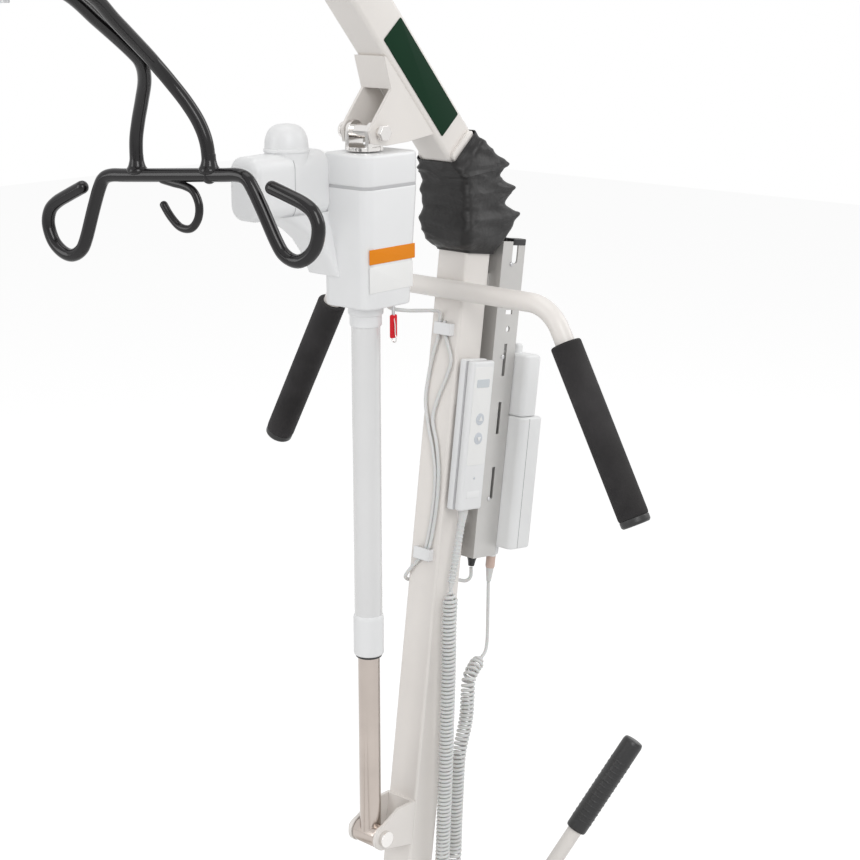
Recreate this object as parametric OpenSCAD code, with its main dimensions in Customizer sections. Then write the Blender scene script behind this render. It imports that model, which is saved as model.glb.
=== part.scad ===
// Mobile patient lift: a wheeled base with two spreading legs, a leaning mast, a boom raised by an
// electric spindle actuator, and a six-hook sling cradle. +X is forward, +Y is the lift's left.

/* [Mast] */
// Outer width of the square mast tube
mast_w = 50; // [42:1:60]
// Wall of the mast tube
mast_wall = 3; // [2:0.5:5]
// Backward lean of the mast, degrees from vertical
mast_lean = 7.75; // [5:0.25:10]
// Height of the boom pivot above the floor
pivot_z = 1260; // [1150:5:1400]
// Distance the mast reaches past the boom pivot
mast_past_pivot = 24; // [20:1:30]

/* [Boom] */
// Width of the boom tube
boom_w = 51; // [44:1:60]
// Height of the boom tube
boom_h = 55; // [46:1:66]
// Wall of the boom tube
boom_wall = 3; // [2:0.5:5]
// Angle of the boom's lower stretch above the horizontal
boom_angle = 49.3; // [40:0.1:55]
// Angle of the boom's outer stretch above the horizontal
boom_end_angle = 6.3; // [0:0.1:12]
// Length of the lower stretch, from the pivot's foot to the corner of the bend
boom_lower = 448; // [400:1:540]
// Length of the outer stretch, from the corner to the tilt pin
boom_outer = 438; // [380:1:500]
// Bend radius of the boom's centreline
boom_bend_r = 120; // [100:1:160]
// Height of the boom's centreline above the pivot, square to the boom
boom_rise = 15; // [12:1:20]

/* [Actuator] */
// Height of the upper actuator pin
top_pin_z = 1365; // [1330:1:1400]
// Height of the lower actuator pin
low_pin_z = 418; // [380:1:460]
// Radius of both actuator pins
act_pin_r = 6; // [4:0.5:9]
// Radius of the sliding outer tube
tube_r = 18.5; // [16:0.5:24]
// Radius of the piston rod
rod_r = 14.5; // [12:0.5:17]
// Radius of the screw spindle
spindle_r = 8; // [6:0.5:9]
// Length of the gear housing along X
housing_x = 98; // [84:1:116]
// Width of the gear housing
housing_y = 80; // [68:1:94]
// Height of the gear housing
housing_z = 190; // [160:1:226]

/* [Handlebar] */
// Radius of the push handle's tube
bar_r = 12.7; // [10:0.1:15]
// Height of the handle's crosspiece
bar_z = 1150; // [1080:5:1200]
// Half width between the corners of the two bends
bar_half = 181; // [150:1:215]
// Turn of each end below the crosspiece, degrees
bar_turn = 61.3; // [45:0.1:75]
// Bend radius of the handle's centreline
bar_bend_r = 56; // [46:1:66]
// Length of each foam grip
grip_len = 239; // [200:1:280]
// Outer radius of each foam grip
grip_r = 20; // [16:0.5:24]

/* [Cradle] */
// Radius of the cradle's round bar
rod_cradle_r = 8; // [6.5:0.5:9.5]
// Distance from the hub to each hook bar
spine_half = 264; // [220:1:310]
// Drop from the hub to the hook bars
bar_drop = 230; // [200:1:270]
// Half length of the straight stretch of a hook bar
bar_straight = 103; // [90:1:122]
// Turn of the cradle about its bolt at rest, degrees
cradle_turn = 12; // [-20:1:20]
// Tilt of each hook bar along its length, degrees
bar_tilt = 3.5; // [0:0.5:6]

/* [Base] */
// Length of a leg tube, from the kingpin to the tube's front end
leg_len = 975; // [820:5:1150]
// Half distance between the kingpins
leg_half = 265; // [225:1:315]
// Width of a leg tube
leg_w = 50; // [40:1:60]
// Height of the leg and crossmember tubes
leg_h = 40; // [32:1:48]
// Wall of the base tubes
base_wall = 3; // [2:0.5:5]
// Height of the base tubes' underside above the floor
base_z = 65; // [58:1:72]
// Radius of each kingpin
kingpin_r = 8; // [6:0.5:10]
// Radius of a rear wheel
rear_wheel_r = 50; // [44:1:52]
// Radius of a front wheel
front_wheel_r = 37.5; // [32:0.5:40]
// Width of every wheel
wheel_w = 28; // [22:1:34]

/* [Controls] */
// Length of the handset
handset_len = 202; // [168:1:240]
// Width of the handset
handset_w = 46; // [38:1:55]
// Thickness of the handset
handset_t = 26; // [21:1:31]
// Width of the battery and the control box
box_w = 120; // [100:1:140]
// Height of the control box
box_h = 185; // [155:1:220]
// Height of the battery
battery_h = 85; // [70:1:100]

/* [Fits] */
// Radial clearance of a pin or shaft that turns or slides in its bore
run_gap = 0.05; // [0.02:0.01:0.1]
// Gap between two pieces that move past each other
part_gap = 0.5; // [0.3:0.1:1]
// Gap between a soft piece and its neighbours
soft_gap = 0.4; // [0.3:0.1:1]

/* [Hidden] */
$fn = 48;

// Colours
off_white = [0.90, 0.87, 0.84];
cover_white = [0.90, 0.90, 0.90];
black = [0.11, 0.10, 0.11];
dark_grey = [0.25, 0.25, 0.26];
steel = [0.72, 0.70, 0.67];
green = [0.04, 0.18, 0.10];

// Base layout
base_top = base_z + leg_h;
kingpin_x = -230;
plate_t = 6;
crossmember_w = 50;
joint_gap = 8;
crossmember_half = leg_half - leg_w / 2 - joint_gap;
outer_y = leg_half + leg_w / 2;
rear_stem_x = kingpin_x - 120;
rear_trail = 28;
front_trail = 20;
front_stem_x = kingpin_x + leg_len + 60;
front_plate_t = 8;
front_plate_reach = 25;
stem_r = 6;
axle_r = 5;
pedal_reach = 86;
rear_arm_t = 20;
rear_arm_z = base_top + plate_t;

// The row's origin stands under the middle of the base, on the floor
frame_front = front_stem_x + front_plate_reach;
frame_rear = rear_stem_x - pedal_reach;
origin_x = (frame_front + frame_rear) / 2;

// Mast and pivot
mast_foot_x = -27;
pivot_x = mast_foot_x - pivot_z * tan(mast_lean);
pivot_s = pivot_z / cos(mast_lean);
mast_top_s = pivot_s + mast_past_pivot;
mast_bottom_s = base_top + 6;
pivot_pin_r = 8;
cheek_t = 5;
cheek_y = boom_w / 2;

// Boom
boom_bend = boom_angle - boom_end_angle;
bend_tangent = boom_bend_r * tan(boom_bend / 2);
boom_start = 52;
boom_corner_x = pivot_x + boom_lower * cos(boom_angle) - boom_rise * sin(boom_angle);
boom_corner_z = pivot_z + boom_lower * sin(boom_angle) + boom_rise * cos(boom_angle);
tilt_x = boom_corner_x + boom_outer * cos(boom_end_angle);
tilt_z = boom_corner_z + boom_outer * sin(boom_end_angle);
boom_nose = 25;
tilt_pin_r = 6;

// Hanger and cradle
strap_t = 5;
strap_w = 36;
strap_drop = 63.4;
swivel_r = 8;
hub_h = 34;
hub_top_z = tilt_z - strap_drop - strap_t - 12;
hub_z = hub_top_z - hub_h / 2;
hub_rod_y = swivel_r + rod_cradle_r + 3;

// Actuator
housing_top = top_pin_z - 25;
housing_bottom = housing_top - housing_z;
housing_mid_x = -11;
tube_bottom = 735;
collar_bottom = 680;
rod_top = 800;
fork_gap = 2;
fork_half = 20;

// Control units hang on a channel behind the mast; these run from the mast's axis backwards
bracket_web = mast_w / 2 + 15;
bracket_depth = 44;
bracket_y = 35;
sheet_t = 2.5;
box_front = bracket_web + bracket_depth + 1;
bracket_top = 1222;
battery_top = 1070;
bracket_bottom = battery_top - battery_h - box_h - 12;
box_top = battery_top - battery_h - part_gap;
plug_r = 7.5;
socket_back = 17;
handset_socket_y = 14;
actuator_socket_y = -20;

// Handset, on the mast's left side
handset_back_y = mast_w / 2 + 6;
handset_low = 864;
handset_x = 4;
relief_r = 7;
relief_swing = 5.8;

// Routes of the cords, as round points
coil_r = 10.5;
wire_r = 2.5;
coil_route = [[-114, 44, 748], [-111, 44, 700], [-110, 44, 640], [-107, 44, 560], [-104, 44, 480],
    [-101, 44, 420], [-99, 44, 375], [-99, 43, 345], [-106, 41, 322], [-120, 36, 312],
    [-134, 31, 320], [-142, 28, 342], [-144, 27, 372], [-147, 27, 430], [-151, 27, 485],
    [-161, 26, 515], [-168, 26, 540], [-173, 24, 570], [-179, 21, 592], [-194, 18, 605],
    [-214, 15, 614]];
tail_route = [[-215, 15, 614.5], [-222, 14.5, 620], [-226, 14, 632], [-227, 14, 650],
    [-227.5, 14, 685], [-228, 14, 722]];
slack_route = [[-45, -6, 1149.5], [-46, -7, 1141], [-58, -7, 1134], [-84, -8, 1128],
    [-110, -8, 1124], [-132, -7, 1121], [-145, -7, 1118], [-149.3, -7, 1112], [-149, -7, 1106.4]];
cable_left_route = [[-149, -7, 1106], [-147.8, -7, 1097], [-145.4, -8, 1082], [-142, -14, 1058], [-139, -19, 1028],
    [-134.5, -20, 996], [-130, -11, 964], [-126, 0, 936], [-121.5, 9, 901], [-115, 10, 853],
    [-108.4, 5, 805], [-106, -3, 787], [-103.4, -15, 772], [-101, -24, 760]];
cable_right_route = [[-149, 1, 1106], [-147.8, 1, 1097], [-145.4, 8, 1080], [-142.4, 18, 1058], [-139.6, 14, 1036],
    [-135, 1, 1002], [-131, -4, 973], [-127, 7, 940], [-121.5, 15, 901], [-115, 16, 853],
    [-108.4, 11, 805], [-105.6, 3, 787]];
cable_wrap_route = [[-101, -24, 760], [-103, -29, 752], [-112, -31, 746], [-130, -31, 742],
    [-155, -31, 737], [-180, -30, 731], [-205, -27, 722], [-221, -22, 717], [-229, -20, 722],
    [-230, -20, 735]];

// ---- Shared shapes ----

// Places the whole lift with the row's origin under the middle of its base
module lift() {
    translate([-origin_x, 0, 0])
        children();
}

// Mast frame: Z runs up the leaning mast from the floor, X stays forward
module on_mast() {
    lift()
        translate([mast_foot_x, 0, 0])
            rotate([0, -mast_lean, 0])
                children();
}

// Boom frame: X runs up the boom's lower stretch from the pivot
module on_boom() {
    lift()
        translate([pivot_x, 0, pivot_z])
            rotate([0, -boom_angle, 0])
                children();
}

module box(low, high) {
    translate(low)
        cube(high - low);
}

// Cylinder along Y, centred on its middle
module y_rod(r, length) {
    rotate([90, 0, 0])
        cylinder(r = r, h = length, center = true);
}

// Rectangle with round corners
module rounded(x, y, r) {
    square([x, y - 2 * r], center = true);
    square([x - 2 * r, y], center = true);
    for (sx = [-1, 1], sy = [-1, 1])
        translate([sx * (x / 2 - r), sy * (y / 2 - r)])
            circle(r);
}

// Hollow rectangular tube along Z
module tube(x, y, wall, length, r = 4) {
    linear_extrude(length)
        difference() {
            rounded(x, y, r);
            square([x - 2 * wall, y - 2 * wall], center = true);
        }
}

function unit(v) = v / norm(v);
function tangent(p, i) = unit(p[min(i + 1, len(p) - 1)] - p[max(i - 1, 0)]);
function blend4(a, b, c, d, t) = 0.5 * (2 * b + (c - a) * t + (2 * a - 5 * b + 4 * c - d) * t * t
    + (3 * b - a - 3 * c + d) * t * t * t);
// Smooth curve through the points, with steps stretches between each two
function curve(p, steps) = [for (i = [0:len(p) - 2], j = [0:steps - 1])
    blend4(p[max(i - 1, 0)], p[i], p[i + 1], p[min(i + 2, len(p) - 1)], j / steps), p[len(p) - 1]];

// Round bar along a list of points; side is a direction that the path never follows
module sweep(points, r, sides, side) {
    n = len(points);
    verts = [for (i = [0:n - 1]) let (t = tangent(points, i), u = unit(cross(side, t)),
        v = cross(t, u)) for (k = [0:sides - 1])
        points[i] + r * (cos(360 * k / sides) * u + sin(360 * k / sides) * v)];
    start = [[for (k = [0:sides - 1]) k]];
    finish = [[for (k = [sides - 1:-1:0]) (n - 1) * sides + k]];
    walls = [for (i = [0:n - 2], k = [0:sides - 1]) let (m = (k + 1) % sides)
        [i * sides + k, (i + 1) * sides + k, (i + 1) * sides + m, i * sides + m]];
    polyhedron(verts, concat(start, walls, finish));
}

// ---- Base ----

module base_frame() {
    color(off_white)
        lift()
            difference() {
                union() {
                    // Crossmember between the legs
                    translate([kingpin_x, -crossmember_half, base_z + leg_h / 2])
                        rotate([-90, 0, 0])
                            tube(crossmember_w, leg_h, base_wall, 2 * crossmember_half);
                    // Spine that carries the mast
                    translate([kingpin_x + crossmember_w / 2, 0, base_z + leg_h / 2])
                        rotate([0, 90, 0])
                            tube(leg_h, 60, base_wall, 245);
                    for (s = [-1, 1]) {
                        // Fork plates above and below the leg
                        translate([kingpin_x, s * (crossmember_half - 20), base_top])
                            mirror([0, s < 0 ? 1 : 0, 0])
                                box([-60, 0, 0], [25, outer_y - crossmember_half + 20, plate_t]);
                        translate([kingpin_x, s * (crossmember_half - 20), base_z - plate_t])
                            mirror([0, s < 0 ? 1 : 0, 0])
                                box([-25, 0, 0], [25, outer_y - crossmember_half + 20, plate_t]);
                        // Arm over each rear caster
                        translate([0, s * leg_half, rear_arm_z])
                            box([rear_stem_x - 20, -20, 0], [kingpin_x - 14, 20, rear_arm_t]);
                    }
                }
                for (s = [-1, 1]) {
                    translate([kingpin_x, s * leg_half, base_z - 20])
                        cylinder(r = kingpin_r + run_gap, h = leg_h + 40);
                    translate([rear_stem_x, s * leg_half, rear_arm_z - 1])
                        cylinder(r = stem_r + run_gap, h = rear_arm_t + 2);
                }
                translate([cam_x, 0, base_z - 1])
                    cylinder(r = cam_bolt_r + run_gap, h = leg_h + 2);
            }
}

module mast_socket() {
    color(off_white)
        difference() {
            on_mast()
                difference() {
                    translate([0, 0, base_top - 20])
                        linear_extrude(150)
                            rounded(mast_w + 12, mast_w + 12, 6);
                    translate([0, 0, base_top + 3])
                        linear_extrude(200)
                            square(mast_w + 0.2, center = true);
                    for (z = [base_top + 50, base_top + 100])
                        translate([0, 0, z])
                            y_rod(5 + run_gap, mast_w + 30);
                }
            lift()
                box([-120, -80, 0], [80, 80, base_top]);
        }
}

module mast() {
    color(off_white)
        on_mast()
            difference() {
                union() {
                    translate([0, 0, mast_bottom_s])
                        tube(mast_w, mast_w, mast_wall, mast_top_s - mast_bottom_s);
                    // Welded sleeve for the boom pivot
                    translate([0, 0, pivot_s])
                        y_rod(pivot_pin_r + 4, mast_w);
                }
                translate([0, 0, pivot_s])
                    y_rod(pivot_pin_r + run_gap, mast_w + 10);
                for (z = [base_top + 50, base_top + 100])
                    translate([0, 0, z])
                        y_rod(5 + run_gap, mast_w + 30);
            }
}

// Kingpins, the lever's bolt and the two bolts of the mast socket
module frame_bolts() {
    color(steel) {
        lift() {
            for (s = [-1, 1])
                translate([kingpin_x, s * leg_half, 0]) {
                    translate([0, 0, base_z - plate_t - 10])
                        cylinder(r = kingpin_r, h = leg_h + 2 * plate_t + 16);
                    translate([0, 0, base_top + plate_t])
                        cylinder(r = kingpin_r + 4, h = 6);
                    translate([0, 0, base_z - plate_t - 8])
                        cylinder(r = kingpin_r + 4, h = 8, $fn = 6);
                }
            translate([cam_x, 0, base_z - 8])
                cylinder(r = cam_bolt_r, h = cam_z + plate_t - base_z + 14);
            translate([cam_x, 0, cam_z + plate_t + part_gap])
                cylinder(r = cam_bolt_r + 4, h = cam_nut_h, $fn = 6);
            translate([cam_x, 0, base_z - 8])
                cylinder(r = cam_bolt_r + 4, h = 8, $fn = 6);
        }
        on_mast()
            for (z = [base_top + 50, base_top + 100])
                translate([0, 0, z]) {
                    y_rod(5, mast_w + 24);
                    for (s = [-1, 1])
                        translate([0, s * (mast_w / 2 + 9), 0])
                            rotate([90, 0, 0])
                                cylinder(r = 9, h = 6, center = true, $fn = 6);
                }
    }
}

// A leg lies along X from its kingpin; side is 1 on the left and -1 on the right
module leg(side) {
    color(off_white)
        lift()
            translate([kingpin_x, side * leg_half, base_z])
                difference() {
                    union() {
                        translate([-24, 0, leg_h / 2])
                            rotate([0, 90, 0])
                                tube(leg_h - 2 * part_gap, leg_w, base_wall, leg_len + 24);
                        translate([0, 0, part_gap])
                            cylinder(r = kingpin_r + 5, h = leg_h - 2 * part_gap);
                        // Head plate over the front caster
                        translate([leg_len, 0, leg_h / 2])
                            rotate([0, 90, 0])
                                linear_extrude(4)
                                    square([leg_h - 2 * part_gap, leg_w], center = true);
                        translate([0, 0, leg_h - front_plate_t - part_gap])
                            box([leg_len + 4, -22, 0],
                                [leg_len + 60 + front_plate_reach, 22, front_plate_t]);
                        // Stud that the tie rod turns on
                        translate([rod_pin_x, 0, leg_h - 4])
                            cylinder(r = rod_pin_r, h = rod_z - base_top + plate_t + 8);
                        translate([rod_pin_x, 0, leg_h - 3])
                            cylinder(r = rod_pin_r + 5, h = rod_z - part_gap - base_top + 3);
                    }
                    translate([0, 0, -1])
                        cylinder(r = kingpin_r + run_gap, h = leg_h + 2);
                    translate([leg_len + 60, 0, 0])
                        cylinder(r = stem_r + run_gap, h = leg_h + 2);
                }
}

module left_leg() {
    leg(1);
}

module right_leg() {
    leg(-1);
}

// ---- Leg spreading ----
cam_x = -150;
cam_z = base_top + 7;
cam_bolt_r = 6;
cam_pin_r = 5;
// The tie rods pass over the nut of the cam's bolt
cam_nut_h = 5.5;
rod_z = cam_z + plate_t + cam_nut_h + 3 * part_gap;
rod_pin_x = 120;
slot_half = 5;
rod_pin_r = 5;
// Cam throw that carries both legs through their whole spread
spread = 12;
lever_turn = 32.4;
cam_throw = rod_pin_x * (cos(spread / 2) * sin(spread / 2) * 2) / (2 * sin(lever_turn));
lever_reach = 285;
lever_top = 455;
lever_foot = 52;
lever_r = 11;
lever_angle = atan2(lever_top - cam_z, lever_reach - lever_foot);
lever_len = norm([lever_top - cam_z, lever_reach - lever_foot]);

// Lever frame: the cam's centre, turned to where the lever stands with the legs closed
module on_cam() {
    lift()
        translate([cam_x, 0, 0])
            rotate([0, 0, -lever_turn])
                children();
}

module spread_lever() {
    color(off_white)
        on_cam() {
            difference() {
                union() {
                    translate([-lever_foot - 16, -13, cam_z])
                        cube([lever_foot + 16 + cam_throw + 12, 26, plate_t]);
                    for (s = [-1, 1])
                        translate([s * cam_throw, 0, cam_z])
                            cylinder(r = cam_pin_r, h = rod_z - cam_z + plate_t + 4);
                }
                translate([0, 0, cam_z - 1])
                    cylinder(r = cam_bolt_r + run_gap, h = plate_t + 2);
            }
            difference() {
                translate([-lever_foot, 0, cam_z + plate_t])
                    rotate([0, lever_angle - 90, 0])
                        translate([0, 0, -14])
                            cylinder(r = lever_r, h = lever_len + 14);
                box([-lever_foot - 60, -40, cam_z - 40], [0, 40, cam_z + plate_t]);
            }
        }
}

module lever_grip() {
    color(black)
        on_cam()
            translate([-lever_foot, 0, cam_z + plate_t])
                rotate([0, lever_angle - 90, 0])
                    difference() {
                        translate([0, 0, lever_len - 150])
                            cylinder(r = lever_r + 4.5, h = 158);
                        translate([0, 0, lever_len - 151])
                            cylinder(r = lever_r + run_gap, h = 151);
                    }
}

// A tie rod from a leg's stud to the cam; the cam end has a slotted eye
module tie_rod(side) {
    leg_end = [kingpin_x + rod_pin_x, side * leg_half];
    cam_end = [cam_x + side * cam_throw * cos(lever_turn), -side * cam_throw * sin(lever_turn)];
    run = cam_end - leg_end;
    color(steel)
        lift()
            translate([leg_end[0], leg_end[1], rod_z])
                linear_extrude(plate_t)
                    difference() {
                        union() {
                            circle(rod_pin_r + 6);
                            translate(run)
                                slot_shape(cam_pin_r + 4);
                            rotate(atan2(run[1], run[0]))
                                translate([0, -6])
                                    square([norm(run), 12]);
                        }
                        circle(rod_pin_r + run_gap);
                        // The slot lets both legs keep the lever's ratio
                        translate(run)
                            slot_shape(cam_pin_r + 0.6);
                    }
}

// Slot along X with round ends
module slot_shape(r) {
    square([2 * slot_half, 2 * r], center = true);
    for (e = [-slot_half, slot_half])
        translate([e, 0])
            circle(r);
}

module left_tie_rod() {
    tie_rod(1);
}

module right_tie_rod() {
    tie_rod(-1);
}

// ---- Casters ----

// Fork with its stem and axle; the stem stands at the origin, top is the underside it turns on
module caster_fork(wheel_r, trail, top, stem_up, lug) {
    side_y = wheel_w / 2 + 2;
    color(steel) {
        difference() {
            union() {
                translate([-34, -side_y - 4, top - 6])
                    cube([54, 2 * side_y + 8, 5.7]);
                for (s = [-1, 1])
                    translate([0, s * (side_y + 2), 0])
                        rotate([90, 0, 0])
                            linear_extrude(4, center = true)
                                polygon(concat([[18, top - 1], [-34, top - 1]],
                                    lug ? [[-67, top - 10], [-67, top - 19]] : [],
                                    [[-trail - 12, wheel_r - 8], [-trail, wheel_r - 13],
                                    [-trail + 12, wheel_r - 8]]));
            }
            translate([-trail, 0, wheel_r])
                y_rod(axle_r, 2 * side_y + 20);
            if (lug)
                translate([pedal_x, 0, pedal_z])
                    y_rod(pedal_pin_r + run_gap, 2 * side_y + 20);
        }
        translate([0, 0, top - 1])
            cylinder(r = stem_r, h = stem_up + 1);
        // Axle with its two heads
        translate([-trail, 0, wheel_r]) {
            y_rod(axle_r, 2 * side_y + 8);
            for (s = [-1, 1])
                translate([0, s * (side_y + 5.5), 0])
                    y_rod(axle_r + 3, 3);
        }
    }
}

// Tyre, web and hub turned about the axle
module caster_wheel(wheel_r, trail) {
    half = wheel_w / 2;
    color(dark_grey)
        translate([-trail, 0, wheel_r])
            rotate([90, 0, 0])
                rotate_extrude($fn = 72)
                    polygon([[axle_r + run_gap, -half], [14, -half], [16, -5], [wheel_r - 12, -5],
                        [wheel_r - 10, -half + 2], [wheel_r - 4, -half + 1],
                        [wheel_r - 0.8, -half + 6], [wheel_r, 0], [wheel_r - 0.8, half - 6],
                        [wheel_r - 4, half - 1], [wheel_r - 10, half - 2], [wheel_r - 12, 5],
                        [16, 5], [14, half], [axle_r + run_gap, half]]);
}

module at_rear(side) {
    lift()
        translate([rear_stem_x, side * leg_half, 0])
            children();
}

module at_front(side) {
    lift()
        translate([front_stem_x, side * leg_half, 0])
            children();
}

module rear_left_fork() {
    at_rear(1)
        caster_fork(rear_wheel_r, rear_trail, rear_arm_z - part_gap, rear_arm_t + 4, true);
}

module rear_right_fork() {
    at_rear(-1)
        caster_fork(rear_wheel_r, rear_trail, rear_arm_z - part_gap, rear_arm_t + 4, true);
}

module front_left_fork() {
    at_front(1)
        caster_fork(front_wheel_r, front_trail, base_top - front_plate_t - 1.5, 13, false);
}

module front_right_fork() {
    at_front(-1)
        caster_fork(front_wheel_r, front_trail, base_top - front_plate_t - 1.5, 13, false);
}

module rear_left_wheel() {
    at_rear(1)
        caster_wheel(rear_wheel_r, rear_trail);
}

module rear_right_wheel() {
    at_rear(-1)
        caster_wheel(rear_wheel_r, rear_trail);
}

module front_left_wheel() {
    at_front(1)
        caster_wheel(front_wheel_r, front_trail);
}

module front_right_wheel() {
    at_front(-1)
        caster_wheel(front_wheel_r, front_trail);
}

// Foot pedal that turns on a pin between the rear fork's lugs
pedal_x = -62;
pedal_z = rear_arm_z - part_gap - 14;
pedal_pin_r = 3;
module brake_pedal(side) {
    inner = wheel_w / 2 + 2 - part_gap;
    color(dark_grey)
        at_rear(side)
            translate([pedal_x, 0, pedal_z]) {
                y_rod(pedal_pin_r, wheel_w + 13);
                y_rod(pedal_pin_r + 1, 2 * inner);
                box([-8, -inner, -2], [0, inner, 3]);
                translate([-8, -inner - 4, 0])
                    box([-16, 0, -1], [0, 2 * inner + 8, 4]);
            }
}

module left_brake_pedal() {
    brake_pedal(1);
}

module right_brake_pedal() {
    brake_pedal(-1);
}

// ---- Mast fittings ----

// Two cheeks and a back plate on the mast's front face carry the lower actuator pin
module lower_bracket() {
    face_x = function (z) mast_foot_x + mast_w / 2 / cos(mast_lean) - z * tan(mast_lean);
    low = low_pin_z - 30;
    high = low_pin_z + 32;
    color(off_white)
        lift() {
            difference() {
                for (s = [-1, 1])
                    translate([0, s * (fork_half + 3), 0])
                        rotate([90, 0, 0])
                            linear_extrude(5, center = true)
                                union() {
                                    polygon([[face_x(low), low], [4, low_pin_z - 16],
                                        [4, low_pin_z + 16], [-30, high], [face_x(high), high]]);
                                    translate([0, low_pin_z])
                                        circle(17);
                                }
                translate([0, 0, low_pin_z])
                    y_rod(act_pin_r + run_gap, 80);
            }
            rotate([90, 0, 0])
                linear_extrude(2 * fork_half + 1, center = true)
                    polygon([[face_x(low), low], [face_x(low) + 5, low], [face_x(high) + 5, high],
                        [face_x(high), high]]);
        }
}

module lower_pin() {
    color(steel)
        lift()
            translate([0, 0, low_pin_z]) {
                y_rod(act_pin_r, 2 * (fork_half + 9));
                translate([0, fork_half + 9, 0])
                    y_rod(11, 7 - part_gap);
                translate([0, -fork_half - 9, 0])
                    y_rod(10, 7 - part_gap);
            }
}

// Hollow rod with its eye below and the drive nut in its top
module piston_rod() {
    color(steel)
        lift() {
            difference() {
                union() {
                    translate([0, 0, low_pin_z])
                        y_rod(16, 2 * fork_half);
                    translate([0, 0, low_pin_z])
                        cylinder(r = rod_r, h = rod_top - 30 - low_pin_z, $fn = 96);
                }
                translate([0, 0, low_pin_z])
                    y_rod(act_pin_r + run_gap, 80);
                translate([0, 0, low_pin_z + 60])
                    cylinder(r = spindle_r + 1.5, h = rod_top);
            }
            translate([0, 0, rod_top - 30])
                difference() {
                    cylinder(r = rod_r - 0.5, h = 30);
                    translate([0, 0, -1])
                        cylinder(r = spindle_r + run_gap, h = 32);
                }
        }
}

bar_x = mast_foot_x - bar_z * tan(mast_lean) + mast_w / 2 / cos(mast_lean)
    + bar_r / cos(mast_lean);
bar_tangent = bar_bend_r * tan(bar_turn / 2);
grip_start = 51;
bar_end = grip_start + grip_len;

// Frame at the left bend's corner, with Z along the handle's outer stretch
module on_handle(side) {
    lift()
        mirror([0, side < 0 ? 1 : 0, 0])
            translate([bar_x, bar_half, bar_z])
                rotate([-90 - bar_turn, 0, 0])
                    children();
}

// Left half of the handle's centreline, from the middle outwards
function bar_line() = concat(
    [for (i = [0:10]) let (a = i * bar_turn / 10) [bar_x,
        bar_half - bar_tangent + bar_bend_r * sin(a), bar_z - bar_bend_r + bar_bend_r * cos(a)]],
    [[bar_x, bar_half + bar_end * cos(bar_turn), bar_z - bar_end * sin(bar_turn)]]);

module handlebar() {
    left = bar_line();
    right = [for (i = [len(left) - 1:-1:0]) [left[i][0], -left[i][1], left[i][2]]];
    color(off_white)
        lift()
            sweep(concat(right, left), bar_r, 24, [1, 0, 0]);
}

module foam_grips() {
    color(black)
        for (s = [-1, 1])
            on_handle(s)
                translate([0, 0, grip_start])
                    difference() {
                        cylinder(r = grip_r, h = grip_len - 6);
                        translate([0, 0, -1])
                            cylinder(r = bar_r + run_gap, h = grip_len);
                    }
}

module grip_end_caps() {
    color(black)
        for (s = [-1, 1])
            on_handle(s) {
                difference() {
                    translate([0, 0, bar_end - 6])
                        cylinder(r = grip_r - 0.5, h = 10);
                    translate([0, 0, bar_end - 7])
                        cylinder(r = bar_r + run_gap, h = 7);
                }
            }
}

// Channel behind the mast on two standoffs, with a hook lip and holes
module control_bracket() {
    color(steel)
        on_mast()
            difference() {
                union() {
                    box([-bracket_web, -bracket_y, bracket_bottom],
                        [-bracket_web + sheet_t, bracket_y, bracket_top]);
                    for (s = [-1, 1])
                        translate([0, s * (bracket_y - sheet_t / 2), 0])
                            box([-bracket_web - bracket_depth, -sheet_t / 2, bracket_bottom],
                                [-bracket_web + sheet_t, sheet_t / 2, bracket_top]);
                    for (z = [bracket_bottom + 60, bracket_top - 60])
                        box([-bracket_web + sheet_t, -15, z - 15], [-mast_w / 2, 15, z + 15]);
                }
                // U notch at the top, round hole, square holes and long slots of each flange
                box([-bracket_web - 30, -60, bracket_top - 24],
                    [-bracket_web - 18, 60, bracket_top + 1]);
                translate([-bracket_web - 24, 0, bracket_top - 24])
                    y_rod(6, 120);
                translate([-bracket_web - 24, 0, bracket_top - 118])
                    y_rod(4, 120);
                for (z = [bracket_top - 98, bracket_top - 104 + 16])
                    box([-bracket_web - 30, -60, z], [-bracket_web - 16, 60, z + 6]);
                for (z = [battery_top - 30, battery_top - 110, battery_top - 200])
                    box([-bracket_web - 26, -60, z], [-bracket_web - 20, 60, z + 44]);
            }
}

module control_box() {
    color(cover_white)
        on_mast()
            difference() {
                translate([-box_front - 23, 0, box_top - box_h])
                    linear_extrude(box_h)
                        rounded(46, box_w, 8);
                // Well of the stop button, on the box's back
                translate([-box_front - 38, 0, box_top - 60])
                    rotate([0, 90, 0])
                        cylinder(r = 11 + part_gap, h = 26, center = true);
                // Sockets underneath
                for (y = [handset_socket_y, actuator_socket_y])
                    translate([-box_front - socket_back, y, box_top - box_h - 1])
                        cylinder(r = plug_r + run_gap, h = 13);
            }
}

module battery() {
    color(cover_white)
        on_mast()
            union() {
                translate([-box_front - 18, 0, battery_top - battery_h])
                    linear_extrude(battery_h)
                        rounded(34, box_w - 8, 8);
                // Carrying lip on top
                translate([-box_front - 18, 0, battery_top])
                    linear_extrude(12)
                        rounded(14, 60, 5);
            }
}

module stop_button() {
    color("red")
        on_mast()
            translate([-box_front - 46 + 14, 0, box_top - 60])
                rotate([0, -90, 0]) {
                    cylinder(r = 11, h = 19);
                    translate([0, 0, 19])
                        cylinder(r = 14, h = 7);
                }
}

// Handset frame: on the mast's left face, Y outwards
module on_handset() {
    on_mast()
        translate([handset_x, handset_back_y, handset_low])
            children();
}

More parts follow.
